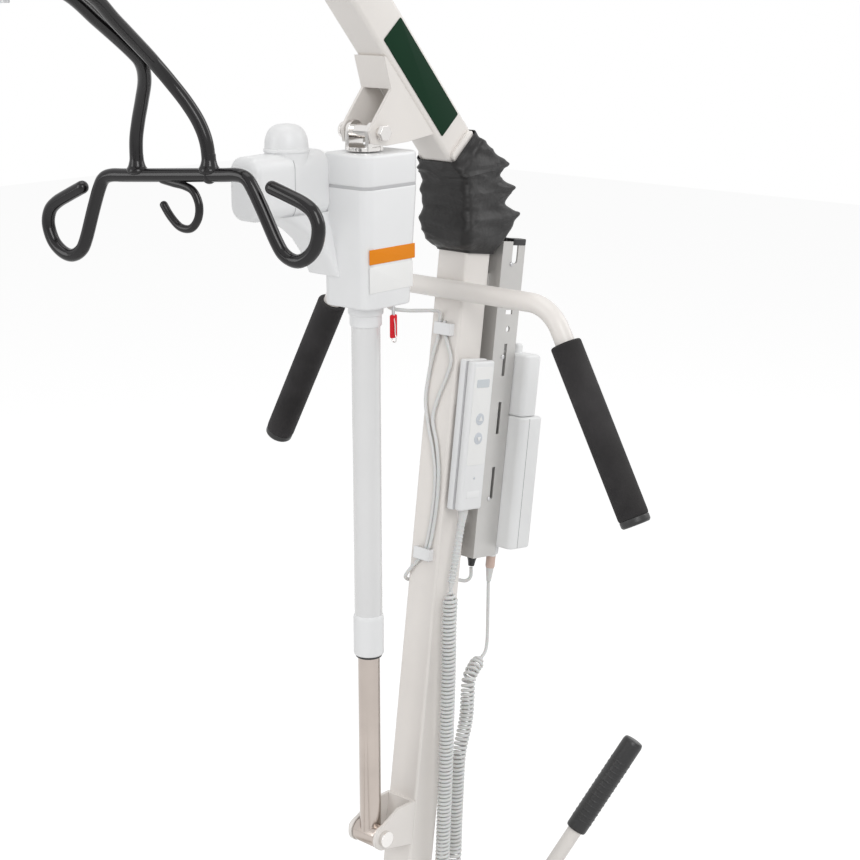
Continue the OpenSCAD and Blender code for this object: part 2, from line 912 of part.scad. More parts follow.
module handset_back() {
    color(cover_white)
        on_handset() {
            difference() {
                translate([0, handset_t / 4, 0])
                    linear_extrude(handset_len)
                        rounded(handset_w, handset_t / 2, 4);
                relief_recess();
            }
            // Hook behind the handset, over a rail on the mast
            box([-12, -6, handset_len - 62], [12, 0, handset_len - 30]);
        }
}

module handset_front() {
    color(cover_white)
        on_handset()
            difference() {
                translate([0, handset_t * 3 / 4, 0])
                    linear_extrude(handset_len)
                        rounded(handset_w - 1, handset_t / 2, 4);
                relief_recess();
                for (z = button_z)
                    translate([0, handset_t - 4, z])
                        rotate([-90, 0, 0])
                            cylinder(r = button_r + 0.4, h = 10);
            }
}

button_r = 8;
button_z = [handset_len - 78, handset_len - 104];
module handset_button(z) {
    color(dark_grey)
        on_handset()
            translate([0, handset_t - 2, z])
                rotate([-90, 0, 0])
                    cylinder(r = button_r, h = 3.5);
}

module up_button() {
    handset_button(button_z[0]);
}

module down_button() {
    handset_button(button_z[1]);
}

module strain_relief() {
    color(cover_white)
        on_handset()
            translate([0, handset_t / 2, 2])
                rotate([0, 180 - relief_swing, 0])
                    cylinder(r1 = relief_r, r2 = 4.5, h = 111);
}

// Round recess in the handset's lower end, where the strain relief leaves it
module relief_recess() {
    translate([0, handset_t / 2, -1])
        cylinder(r = relief_r + part_gap, h = 5);
}

module coiled_cord() {
    color(cover_white)
        lift()
            sweep(curve(coil_route, 3), coil_r, 12, [0, 1, 0]);
}

module cord_tail() {
    color(cover_white)
        lift()
            sweep(curve(tail_route, 3), wire_r, 8, [0, 1, 0]);
}

// Frame at a socket in the control box's underside, Z upwards into the box
module at_socket(y) {
    on_mast()
        translate([-box_front - socket_back, y, box_top - box_h])
            children();
}

module handset_plug() {
    color(cover_white)
        at_socket(handset_socket_y) {
            cylinder(r = plug_r, h = 11);
            translate([0, 0, -16])
                cylinder(r = plug_r + 1.5, h = 15.7);
            translate([0, 0, -36])
                cylinder(r = 6.5, h = 20);
            translate([0, 0, -56])
                cylinder(r1 = 3, r2 = 5.5, h = 20);
            translate([0, 0, -1])
                cylinder(r = plug_r, h = 2);
        }
}

module actuator_cable() {
    color(cover_white)
        lift() {
            sweep(curve(cable_left_route, 3), wire_r, 8, [0, 1, 0.3]);
            sweep(curve(cable_right_route, 3), wire_r, 8, [0, 1, 0.3]);
            sweep(curve(cable_wrap_route, 3), wire_r, 8, [0, 0, 1]);
        }
}

module cable_slack() {
    color(cover_white)
        lift()
            sweep(curve(slack_route, 3), wire_r, 8, [0, 1, 0]);
}

// Two clips glued to the mast's front face
module cable_clips() {
    color(cover_white)
        on_mast()
            for (z = [1102, 796])
                translate([mast_w / 2, 2, z])
                    difference() {
                        box([0, -14, -8], [9, 14, 8]);
                        box([-1, -13, -9], [6.5, 13, 9]);
                    }
}

module actuator_plug() {
    color(black)
        at_socket(actuator_socket_y) {
            translate([0, 0, -30])
                cylinder(r = plug_r, h = 41);
            translate([0, 0, -42])
                cylinder(r1 = 4, r2 = 6.5, h = 12);
        }
}

// ---- Boot over the boom pivot ----

module boot_blocks(grow) {
    hull() {
        // Collar round the boom
        on_boom()
            translate([104, 0, boom_rise])
                cube([8, boom_w + 12 + 2 * grow, boom_h + 12 + 2 * grow], center = true);
        // Full middle round the pivot
        lift()
            translate([pivot_x + 18, 0, pivot_z - 8])
                cube([163 + 2 * grow, 88 + 2 * grow, 64 + 2 * grow], center = true);
        // Collar round the mast
        on_mast()
            translate([0, 0, pivot_s - 58])
                cube([mast_w + 12 + 2 * grow, mast_w + 12 + 2 * grow, 8], center = true);
    }
}

module boot() {
    color(black)
        difference() {
            boot_blocks(0);
            boot_blocks(-4);
            on_mast()
                translate([0, 0, 1000])
                    linear_extrude(250)
                        square(mast_w + 2 * soft_gap, center = true);
            on_boom()
                translate([80, 0, boom_rise])
                    rotate([0, 90, 0])
                        linear_extrude(60)
                            square([boom_h + 2 * soft_gap, boom_w + 2 * soft_gap], center = true);
            // Room for the boom's cheeks
            on_boom()
                box([0, -cheek_y - cheek_t - soft_gap, boom_rise - 24 - soft_gap],
                    [92 + soft_gap, cheek_y + cheek_t + soft_gap, boom_rise + 24 + soft_gap]);
            // Notch over the top of the channel behind the mast
            on_mast()
                box([-bracket_web - bracket_depth - soft_gap, -bracket_y - soft_gap, 1100],
                    [-mast_w / 2 - soft_gap, bracket_y + soft_gap, bracket_top + soft_gap]);
        }
}

// ---- Actuator ----

module actuator_tube() {
    color(cover_white)
        lift()
            difference() {
                translate([0, 0, tube_bottom - 30])
                    cylinder(r = tube_r, h = housing_bottom - tube_bottom + 40, $fn = 96);
                translate([0, 0, tube_bottom - 31])
                    cylinder(r = rod_r + 1.2, h = housing_bottom - tube_bottom + 42);
            }
}

// Lower guide cap round the rod, and the ring under the housing
module tube_collars() {
    color(cover_white)
        lift() {
            difference() {
                translate([0, 0, collar_bottom])
                    cylinder(r = tube_r + 1.6, h = tube_bottom - collar_bottom, $fn = 96);
                translate([0, 0, collar_bottom - 1])
                    cylinder(r = rod_r + run_gap, h = 26, $fn = 96);
                translate([0, 0, tube_bottom - 30])
                    cylinder(r = tube_r, h = 31, $fn = 96);
            }
            difference() {
                translate([0, 0, housing_bottom - 12])
                    cylinder(r = tube_r + 4, h = 12, $fn = 96);
                translate([0, 0, housing_bottom - 13])
                    cylinder(r = tube_r, h = 14, $fn = 96);
            }
        }
}

cover_h = 40;
housing_wall = 4;

module housing_block(x, y, z0, z1, r) {
    translate([housing_mid_x, 0, z0])
        linear_extrude(z1 - z0)
            rounded(x, y, r);
}

module gear_housing() {
    color(cover_white)
        lift()
            difference() {
                housing_block(housing_x, housing_y, housing_bottom, housing_top - cover_h, 12);
                housing_block(housing_x - 2 * housing_wall, housing_y - 2 * housing_wall,
                    housing_bottom + housing_wall + 6, housing_top, 8);
                translate([0, 0, housing_bottom - 1])
                    cylinder(r = tube_r, h = 12, $fn = 96);
                translate([pull_x, pull_y, housing_bottom - 1])
                    cylinder(r = 2 + run_gap, h = 12);
                motor_bore();
            }
}

module housing_cover() {
    color(cover_white)
        lift()
            difference() {
                housing_block(housing_x, housing_y, housing_top - cover_h, housing_top, 12);
                housing_block(housing_x - 2 * housing_wall, housing_y - 2 * housing_wall,
                    housing_top - cover_h - 1, housing_top - housing_wall, 8);
                motor_bore();
            }
}

motor_y = -50;
motor_z = 1303;
motor_end = 158;
worm_y = -30;
worm_r = 4.5;
spindle_low = 700;

// Opening from the housing into the motor cover
module motor_bore() {
    translate([housing_mid_x + housing_x / 2 - 8, worm_y, motor_z])
        rotate([0, 90, 0])
            cylinder(r = 16, h = 20);
}

// Pod in front of the housing, with a domed cap on top
module motor_cover() {
    start = housing_mid_x + housing_x / 2;
    color(cover_white)
        lift()
            difference() {
                union() {
                    translate([start, motor_y, motor_z])
                        rotate([0, 90, 0])
                            linear_extrude(motor_end - start)
                                rounded(83, 56, 16);
                    translate([start + 46, motor_y, motor_z + 30])
                        cylinder(r = 27, h = 32);
                    translate([start + 46, motor_y, motor_z + 62])
                        cylinder(r1 = 27, r2 = 16, h = 12);
                }
                translate([start - 1, motor_y, motor_z])
                    rotate([0, 90, 0])
                        linear_extrude(motor_end - start - 3)
                            rounded(77, 50, 13);
            }
}

// Motor, worm and spindle inside the covers
module drive_train() {
    color(steel)
        lift() {
            // Motor on the worm's line
            translate([housing_mid_x + housing_x / 2 + 6, motor_y, motor_z])
                rotate([0, 90, 0])
                    cylinder(r = 20, h = 110);
            translate([-8, worm_y, motor_z])
                rotate([0, 90, 0])
                    cylinder(r = worm_r, h = 56);
            // Worm wheel on the spindle
            translate([0, 0, motor_z - 10])
                cylinder(r = -worm_y - worm_r - part_gap, h = 20);
            translate([0, 0, spindle_low])
                cylinder(r = spindle_r, h = motor_z - spindle_low);
            // Bearing under the wheel
            translate([0, 0, housing_bottom + 20])
                cylinder(r = 17, h = 12);
        }
}

// Red tab of the emergency release on its wire loop, under the housing
pull_x = -20;
pull_y = 29;
module release_pull() {
    loop = [[pull_x, 30, housing_bottom - 24], [pull_x, 31, housing_bottom - 32],
        [pull_x, 34, housing_bottom - 39], [pull_x, 33, housing_bottom - 45],
        [pull_x, 30, housing_bottom - 47], [pull_x, 27, housing_bottom - 45],
        [pull_x, 26, housing_bottom - 39], [pull_x, 28, housing_bottom - 33]];
    color("red")
        lift() {
            translate([pull_x, pull_y, housing_bottom - 28])
                rotate([90, 0, 0])
                    linear_extrude(3, center = true)
                        rounded(11, 30, 2);
            translate([pull_x, pull_y, housing_bottom - 14])
                cylinder(r = 2, h = 22);
            sweep(curve(loop, 3), 1, 8, [1, 0, 0]);
        }
}

// Fork above the housing, with the upper pin through it
module top_fork() {
    color(steel)
        lift() {
            difference() {
                union() {
                    for (s = [-1, 1])
                        translate([0, s * (fork_half - 3), 0]) {
                            translate([0, 0, top_pin_z])
                                y_rod(13, 6);
                            box([-13, -3, housing_top + fork_gap], [13, 3, top_pin_z]);
                        }
                    translate([0, 0, housing_top + fork_gap])
                        cylinder(r = 22, h = 5);
                    translate([0, 0, top_pin_z])
                        y_rod(9, 2 * fork_half);
                }
                translate([0, 0, top_pin_z])
                    y_rod(act_pin_r, 80);
            }
            translate([0, 0, top_pin_z])
                y_rod(act_pin_r, 2 * cheek_y + 22);
            translate([0, cheek_y + 9, top_pin_z])
                rotate([90, 0, 0])
                    cylinder(r = 10, h = 6, center = true, $fn = 6);
            translate([0, -cheek_y - 8, top_pin_z])
                y_rod(10, 4);
        }
}

// ---- Boom ----

// Side outline of the boom, h either side of its centreline and past each end by over
function boom_side(h, over) = concat(
    [[boom_start - over, boom_rise + h]],
    [for (i = [0:24]) let (a = i * boom_bend / 24) [
        boom_lower - bend_tangent + (boom_bend_r + h) * sin(a),
        boom_rise - boom_bend_r + (boom_bend_r + h) * cos(a)]],
    [[boom_lower + (boom_outer + boom_nose + over) * cos(boom_bend) + h * sin(boom_bend),
        boom_rise - (boom_outer + boom_nose + over) * sin(boom_bend) + h * cos(boom_bend)]]);

// Solid bar along the boom, w wide and 2 h high
module boom_bar(h, w, over) {
    low = boom_side(-h, over);
    rotate([90, 0, 0])
        linear_extrude(w, center = true)
            polygon(concat(boom_side(h, over), [for (i = [len(low) - 1:-1:0]) low[i]]));
}

module boom() {
    color(off_white)
        on_boom()
            difference() {
                union() {
                    difference() {
                        boom_bar(boom_h / 2, boom_w, 0);
                        boom_bar(boom_h / 2 - boom_wall, boom_w - 2 * boom_wall, 1);
                    }
                    // Sleeve of the tilt pin
                    translate([boom_lower, 0, boom_rise])
                        rotate([0, boom_bend, 0])
                            translate([boom_outer, 0, 0])
                                y_rod(tilt_pin_r + 4, boom_w);
                    // Cheeks that straddle the mast
                    for (s = [-1, 1])
                        translate([0, s * (cheek_y + cheek_t / 2), 0])
                            rotate([90, 0, 0])
                                linear_extrude(cheek_t, center = true)
                                    union() {
                                        polygon([[0, -20], [92, boom_rise - 24],
                                            [92, boom_rise + 24], [0, 20]]);
                                        circle(20);
                                    }
                }
                y_rod(pivot_pin_r + run_gap, 100);
                translate([boom_lower, 0, boom_rise])
                    rotate([0, boom_bend, 0])
                        translate([boom_outer, 0, 0])
                            y_rod(tilt_pin_r + run_gap, 100);
            }
}

module boom_pivot_pin() {
    color(steel)
        on_boom() {
            y_rod(pivot_pin_r, 2 * (cheek_y + cheek_t) + 2);
            for (s = [-1, 1])
                translate([0, s * (cheek_y + cheek_t + 2), 0])
                    y_rod(pivot_pin_r + 5, 4);
        }
}

// Folded bracket under the boom that takes the upper actuator pin
module boom_bracket() {
    color(off_white)
        difference() {
            lift() {
                difference() {
                    for (s = [-1, 1])
                        translate([0, s * (cheek_y - 2), 0])
                            rotate([90, 0, 0])
                                linear_extrude(4, center = true)
                                    polygon([[-100, 1356], [-52, 1350], [-12, 1348], [12, 1352],
                                        [16, 1368], [6, 1382], [-22, 1416], [-10, 1456],
                                        [-60, 1440], [-120, 1366]]);
                    translate([0, 0, top_pin_z])
                        y_rod(act_pin_r + run_gap, 100);
                }
                // Front web between the two ears
                rotate([90, 0, 0])
                    linear_extrude(2 * cheek_y - 4, center = true)
                        polygon([[-22, 1416], [-26, 1416], [-16, 1456], [-10, 1456]]);
            }
            on_boom()
                translate([80, 0, boom_rise])
                    rotate([0, 90, 0])
                        linear_extrude(300)
                            square([boom_h + 0.02, boom_w + 4], center = true);
        }
}

panel_start = 140;
panel_len = 208;
module boom_panels() {
    color(green)
        on_boom()
            for (s = [-1, 1])
                translate([panel_start, s * (cheek_y + 0.5), boom_rise])
                    box([0, -0.5, -16], [panel_len, 0.5, 19]);
}

module boom_end_cap() {
    color(black)
        on_boom()
            translate([boom_lower, 0, boom_rise])
                rotate([0, boom_bend, 0])
                    translate([boom_outer + boom_nose, 0, 0])
                        rotate([0, 90, 0])
                            linear_extrude(3)
                                rounded(boom_h, boom_w, 4);
}

// ---- Hanger and cradle ----

// Strap round the boom's end with the swivel bolt under it
module hanger() {
    inner = boom_w / 2 + part_gap;
    color(steel)
        lift()
            translate([tilt_x, 0, tilt_z]) {
                difference() {
                    union() {
                        for (s = [-1, 1])
                            translate([0, s * (inner + strap_t / 2), 0]) {
                                y_rod(strap_w / 2, strap_t);
                                box([-strap_w / 2, -strap_t / 2, -strap_drop - strap_t],
                                    [strap_w / 2, strap_t / 2, 0]);
                            }
                        box([-strap_w / 2, -inner - strap_t, -strap_drop - strap_t],
                            [strap_w / 2, inner + strap_t, -strap_drop]);
                    }
                    y_rod(tilt_pin_r, 100);
                }
                y_rod(tilt_pin_r, 2 * inner + 2 * strap_t + 4);
                for (s = [-1, 1])
                    translate([0, s * (inner + strap_t + 2), 0])
                        y_rod(tilt_pin_r + 4, 4);
                // Thrust washer, swivel bolt and its nut
                translate([0, 0, -strap_drop - strap_t - 12 + part_gap])
                    cylinder(r = 16, h = 12 - part_gap);
                translate([0, 0, -strap_drop - strap_t - 12 - hub_h - 14])
                    cylinder(r = swivel_r, h = hub_h + 30);
                translate([0, 0, -strap_drop - strap_t - 12 - hub_h - part_gap - 9])
                    cylinder(r = 14, h = 9, $fn = 6);
            }
}

// Cradle frame: the hub's centre, turned to where the cradle hangs
module on_cradle() {
    lift()
        translate([tilt_x, 0, hub_z])
            rotate([0, 0, cradle_turn])
                children();
}

module cradle_hub() {
    color(black)
        on_cradle()
            difference() {
                union() {
                    cylinder(r = 2 * swivel_r, h = hub_h, center = true);
                    box([-26, -hub_rod_y, -4], [26, hub_rod_y, 4]);
                }
                cylinder(r = swivel_r + run_gap, h = hub_h + 2, center = true);
                for (s = [-1, 1])
                    translate([0, s * hub_rod_y, 0])
                        rotate([0, 90, 0])
                            cylinder(r = rod_cradle_r, h = 80, center = true);
            }
}

// Half of a spine rod, from the hub's side to its foot on the hook bar
foot_y = 52;
function spine_half_route(side, d) = [[d * 10, side * hub_rod_y, 0],
    [d * 34, side * (hub_rod_y - 1), -4], [d * (spine_half - 154), side * 16, -22],
    [d * (spine_half - 104), side * 12, -54], [d * (spine_half - 54), side * 9, -88],
    [d * (spine_half - 36), side * 10, -103], [d * (spine_half - 22), side * 18, -122],
    [d * (spine_half - 11), side * 32, -146], [d * (spine_half - 4), side * 44, -170],
    [d * (spine_half - 1), side * 51, -195], [d * spine_half, side * foot_y, -bar_drop]];
function reversed(p) = [for (i = [len(p) - 1:-1:0]) p[i]];

module cradle_spine() {
    color(black)
        on_cradle()
            for (side = [-1, 1])
                sweep(curve(concat(reversed(spine_half_route(side, -1)),
                    spine_half_route(side, 1)), 3), rod_cradle_r, 12, [0, 1, 0]);
}

// Half of a hook bar, in the plane across the spine: along, up
hook_half = [[0, 0], [30, 0], [70, 0], [bar_straight - 12, 0], [bar_straight, -4],
    [bar_straight + 8, -15], [bar_straight + 20, -40], [bar_straight + 36, -76],
    [bar_straight + 46, -90], [bar_straight + 61, -96], [bar_straight + 76, -91],
    [bar_straight + 88, -78], [bar_straight + 93, -58], [bar_straight + 88, -42],
    [bar_straight + 76, -32], [bar_straight + 56, -23], [bar_straight + 34, -14]];
// Open hook under the middle of the bar
centre_hook = [[-16, -12], [0, -12], [16, -12.5], [28, -19], [34, -34], [31, -50], [20, -61],
    [5, -60], [-8, -48], [-17, -34]];

module cradle_bars() {
    bar = concat([for (i = [len(hook_half) - 1:-1:1]) [-hook_half[i][0], hook_half[i][1]]],
        hook_half);
    color(black)
        on_cradle()
            for (d = [-1, 1])
                translate([d * spine_half, 0, -bar_drop])
                    rotate([bar_tilt, 0, 0]) {
                        sweep(curve([for (p = bar) [0, p[0], p[1]]], 2), rod_cradle_r, 12,
                            [1, 0, 0]);
                        sweep(curve([for (p = centre_hook) [0, p[0], p[1]]], 3), 4.5, 10,
                            [1, 0, 0]);
                    }
}

base_frame();
mast_socket();
mast();
frame_bolts();
lower_bracket();
lower_pin();
piston_rod();
handlebar();
foam_grips();
grip_end_caps();
control_bracket();
control_box();
handset_back();
handset_front();
strain_relief();
coiled_cord();
cord_tail();
handset_plug();
actuator_cable();
cable_clips();
actuator_plug();
boot();
cable_slack();
battery();
stop_button();
up_button();
down_button();
left_leg();
right_leg();
left_tie_rod();
right_tie_rod();
spread_lever();
lever_grip();
rear_left_fork();
rear_right_fork();
front_left_fork();
front_right_fork();
rear_left_wheel();
rear_right_wheel();
front_left_wheel();
front_right_wheel();
left_brake_pedal();
right_brake_pedal();
actuator_tube();
tube_collars();
gear_housing();
housing_cover();
motor_cover();
drive_train();
release_pull();
top_fork();
boom();
boom_bracket();
boom_panels();
boom_pivot_pin();
boom_end_cap();
hanger();
cradle_hub();
cradle_spine();
cradle_bars();
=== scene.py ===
import math

import bmesh
import bpy
import numpy as np
from mathutils import Matrix, Vector, noise


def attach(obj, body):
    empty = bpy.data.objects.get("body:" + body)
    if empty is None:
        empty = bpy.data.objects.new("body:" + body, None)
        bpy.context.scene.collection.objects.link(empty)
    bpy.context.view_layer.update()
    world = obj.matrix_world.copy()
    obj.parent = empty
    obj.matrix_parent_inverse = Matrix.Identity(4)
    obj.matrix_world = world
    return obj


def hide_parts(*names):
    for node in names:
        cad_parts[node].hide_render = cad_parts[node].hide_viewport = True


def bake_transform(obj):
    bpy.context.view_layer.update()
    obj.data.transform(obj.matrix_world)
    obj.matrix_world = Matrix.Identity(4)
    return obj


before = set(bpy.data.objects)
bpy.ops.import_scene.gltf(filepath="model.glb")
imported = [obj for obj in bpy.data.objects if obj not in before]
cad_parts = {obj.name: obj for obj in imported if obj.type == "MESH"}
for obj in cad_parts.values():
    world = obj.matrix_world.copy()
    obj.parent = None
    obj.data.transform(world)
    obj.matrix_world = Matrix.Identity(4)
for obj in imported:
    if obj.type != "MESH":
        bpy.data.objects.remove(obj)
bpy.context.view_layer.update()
scene = bpy.context.scene
scene.view_settings.view_transform = "Standard"
print("frame loaded")

# Frames: millimetres in each local frame, metres in the row frame
lift = {"origin": 197.0, "boomOuter": 438.0, "strapDrop": 63.4, "spineHalf": 264.0, "frontStem": 805.0}
liftFrame = Matrix.Scale(0.001, 4) @ Matrix.Translation((-lift["origin"], 0, 0))
lean = math.radians(7.75)
mastFrame = liftFrame @ Matrix.Translation((-27, 0, 0)) @ Matrix.Rotation(-lean, 4, "Y")
pivotX = -27 - 1260 * math.tan(lean)
pivotS = 1260 / math.cos(lean)
boomTurn = math.radians(49.3)
boomBend = math.radians(43)
boomFrame = liftFrame @ Matrix.Translation((pivotX, 0, 1260)) @ Matrix.Rotation(-boomTurn, 4, "Y")
cornerX = pivotX + 448 * math.cos(boomTurn) - 15 * math.sin(boomTurn)
cornerZ = 1260 + 448 * math.sin(boomTurn) + 15 * math.cos(boomTurn)
endTurn = math.radians(6.3)
tiltX = cornerX + lift["boomOuter"] * math.cos(endTurn)
tiltZ = cornerZ + lift["boomOuter"] * math.sin(endTurn)
hubZ = tiltZ - lift["strapDrop"] - 5 - 12 - 17
cradleFrame = liftFrame @ Matrix.Translation((tiltX, 0, hubZ)) @ Matrix.Rotation(math.radians(12), 4, "Z")
handsetFrame = mastFrame @ Matrix.Translation((4, 31, 864))
boxTop = 1070 - 85 - 0.5
boxFront = 40 + 44 + 1
handleTurn = math.radians(61.3)
barX = -27 - 1150 * math.tan(lean) + 25 / math.cos(lean) + 12.7 / math.cos(lean)


def handleFrame(side):
    mirror = Matrix.Scale(-1, 4, (0, 1, 0)) if side < 0 else Matrix.Identity(4)
    return liftFrame @ mirror @ Matrix.Translation((barX, 181, 1150)) @ Matrix.Rotation(-math.pi / 2 - handleTurn, 4, "X")


def socketFrame(y):
    return mastFrame @ Matrix.Translation((-boxFront - 17, y, boxTop - 185))


# Camera
camera = bpy.data.objects.new("camera", bpy.data.cameras.new("camera"))
scene.collection.objects.link(camera)
scene.camera = camera
camera.data.lens = 75.35
camera.data.sensor_width = 36
forward = Vector((-0.7180, -0.6465, -0.2577)).normalized()
up = Vector((-0.1915, -0.1724, 0.9662)).normalized()
right = forward.cross(up)
camera.matrix_world = Matrix(
    [(right.x, up.x, -forward.x, 1.6023 - lift["origin"] / 1000), (right.y, up.y, -forward.y, 1.5517), (right.z, up.z, -forward.z, 1.580), (0, 0, 0, 1)]
)
camera.data.clip_start = 0.05
camera.data.clip_end = 60


# ---- Shader groups ----


def shaderGroup(name, inputs, outputs):
    group = bpy.data.node_groups.new(name, "ShaderNodeTree")
    for label, kind, value in inputs:
        socket = group.interface.new_socket(label, in_out="INPUT", socket_type=kind)
        if value is not None:
            socket.default_value = value
    for label, kind in outputs:
        group.interface.new_socket(label, in_out="OUTPUT", socket_type=kind)
    return group, group.nodes.new("NodeGroupInput"), group.nodes.new("NodeGroupOutput")


def node(tree, kind, settings=None, **values):
    made = tree.nodes.new(kind)
    for key, value in (settings or {}).items():
        setattr(made, key, value)
    for key, value in values.items():
        made.inputs[key.replace("_", " ")].default_value = value
    return made


def mathNode(tree, operation, a, b=None, clamp=False):
    made = node(tree, "ShaderNodeMath", {"operation": operation, "use_clamp": clamp})
    for i, value in enumerate((a, b)):
        if value is None:
            continue
        if isinstance(value, (int, float)):
            made.inputs[i].default_value = value
        else:
            tree.links.new(value, made.inputs[i])
    return made.outputs[0]


def ramp(tree, source, low, high):
    made = tree.nodes.new("ShaderNodeMapRange")
    made.inputs["From Min"].default_value = low
    made.inputs["From Max"].default_value = high
    tree.links.new(source, made.inputs["Value"])
    return made.outputs["Result"]


def makeGrain():
    """Fine bumps of a powder coat or moulded plastic, with softened edges."""
    tree, start, end = shaderGroup(
        "surfaceGrain",
        [("Scale", "NodeSocketFloat", 900.0), ("Height", "NodeSocketFloat", 0.05), ("Edge", "NodeSocketFloat", 0.0008)],
        [("Normal", "NodeSocketVector"), ("Mottle", "NodeSocketFloat")],
    )
    place = tree.nodes.new("ShaderNodeTexCoord")
    fine = node(tree, "ShaderNodeTexNoise", Detail=3.0, Roughness=0.6)
    tree.links.new(place.outputs["Object"], fine.inputs["Vector"])
    tree.links.new(start.outputs["Scale"], fine.inputs["Scale"])
    broad = node(tree, "ShaderNodeTexNoise", Scale=14.0, Detail=4.0, Roughness=0.55)
    tree.links.new(place.outputs["Object"], broad.inputs["Vector"])
    edge = node(tree, "ShaderNodeBevel", {"samples": 6})
    tree.links.new(start.outputs["Edge"], edge.inputs["Radius"])
    bump = node(tree, "ShaderNodeBump", Distance=0.0004)
    tree.links.new(start.outputs["Height"], bump.inputs["Strength"])
    tree.links.new(fine.outputs["Fac"], bump.inputs["Height"])
    tree.links.new(edge.outputs["Normal"], bump.inputs["Normal"])
    tree.links.new(bump.outputs["Normal"], end.inputs["Normal"])
    tree.links.new(broad.outputs["Fac"], end.inputs["Mottle"])
    return tree


def makeEdgeWear():
    """Mask of worn edges: 1 on sharp edges broken up by noise."""
    tree, start, end = shaderGroup(
        "edgeWear",
        [("Radius", "NodeSocketFloat", 0.0012), ("Amount", "NodeSocketFloat", 0.5)],
        [("Mask", "NodeSocketFloat")],
    )
    edge = node(tree, "ShaderNodeBevel", {"samples": 6})
    tree.links.new(start.outputs["Radius"], edge.inputs["Radius"])
    shape = tree.nodes.new("ShaderNodeNewGeometry")
    dot = node(tree, "ShaderNodeVectorMath", {"operation": "DOT_PRODUCT"})
    tree.links.new(edge.outputs["Normal"], dot.inputs[0])
    tree.links.new(shape.outputs["Normal"], dot.inputs[1])
    place = tree.nodes.new("ShaderNodeTexCoord")
    broken = node(tree, "ShaderNodeTexNoise", Scale=60.0, Detail=6.0, Roughness=0.7)
    tree.links.new(place.outputs["Object"], broken.inputs["Vector"])
    rim = mathNode(tree, "SUBTRACT", 1.0, dot.outputs["Value"])
    rim = ramp(tree, rim, 0.03, 0.2)
    patch = ramp(tree, broken.outputs["Fac"], 0.48, 0.62)
    mask = mathNode(tree, "MULTIPLY", rim, patch)
    tree.links.new(mathNode(tree, "MULTIPLY", mask, start.outputs["Amount"], True), end.inputs["Mask"])
    return tree


def makeWeave():
    """Fine coated-fabric weave and soft crumple, as a normal and a mask."""
    tree, start, end = shaderGroup(
        "coatedWeave",
        [("Scale", "NodeSocketFloat", 900.0), ("Crumple", "NodeSocketFloat", 0.5)],
        [("Normal", "NodeSocketVector"), ("Thread", "NodeSocketFloat")],
    )
    place = tree.nodes.new("ShaderNodeTexCoord")
    total = None
    for axis in ("X", "Y"):
        wave = node(tree, "ShaderNodeTexWave", {"wave_type": "BANDS", "bands_direction": "DIAGONAL" if axis == "X" else "Z"}, Distortion=1.5, Detail=1.0)
        tree.links.new(place.outputs["Object"], wave.inputs["Vector"])
        tree.links.new(start.outputs["Scale"], wave.inputs["Scale"])
        total = wave.outputs["Fac"] if total is None else mathNode(tree, "MULTIPLY", total, wave.outputs["Fac"])
    crumple = node(tree, "ShaderNodeTexNoise", Scale=38.0, Detail=5.0, Roughness=0.6, Distortion=0.6)
    tree.links.new(place.outputs["Object"], crumple.inputs["Vector"])
    first = node(tree, "ShaderNodeBump", Distance=0.004)
    tree.links.new(start.outputs["Crumple"], first.inputs["Strength"])
    tree.links.new(crumple.outputs["Fac"], first.inputs["Height"])
    second = node(tree, "ShaderNodeBump", Distance=0.0004, Strength=0.35)
    tree.links.new(total, second.inputs["Height"])
    tree.links.new(first.outputs["Normal"], second.inputs["Normal"])
    tree.links.new(second.outputs["Normal"], end.inputs["Normal"])
    tree.links.new(total, end.inputs["Thread"])
    return tree


def makeDust():
    """Mask of dust lying on faces that look up."""
    tree, start, end = shaderGroup("dustUp", [("Amount", "NodeSocketFloat", 0.2)], [("Mask", "NodeSocketFloat")])
    shape = tree.nodes.new("ShaderNodeNewGeometry")
    split = tree.nodes.new("ShaderNodeSeparateXYZ")
    tree.links.new(shape.outputs["Normal"], split.inputs[0])
    place = tree.nodes.new("ShaderNodeTexCoord")
    cloud = node(tree, "ShaderNodeTexNoise", Scale=9.0, Detail=7.0, Roughness=0.65)
    tree.links.new(place.outputs["Object"], cloud.inputs["Vector"])
    facing = ramp(tree, split.outputs["Z"], 0.2, 1.0)
    mask = mathNode(tree, "MULTIPLY", facing, ramp(tree, cloud.outputs["Fac"], 0.35, 0.7))
    tree.links.new(mathNode(tree, "MULTIPLY", mask, start.outputs["Amount"], True), end.inputs["Mask"])
    return tree


grainGroup, wearGroup, weaveGroup, dustGroup = makeGrain(), makeEdgeWear(), makeWeave(), makeDust()


def useGroup(tree, group, **values):
    made = tree.nodes.new("ShaderNodeGroup")
    made.node_tree = group
    for key, value in values.items():
        made.inputs[key].default_value = value
    return made


def mixColour(tree, mask, a, b):
    made = node(tree, "ShaderNodeMix", {"data_type": "RGBA"})
    tree.links.new(mask, made.inputs["Factor"])
    for socket, value in ((made.inputs[6], a), (made.inputs[7], b)):
        if isinstance(value, tuple):
            socket.default_value = (*value, 1)
        else:
            tree.links.new(value, socket)
    return made.outputs[2]


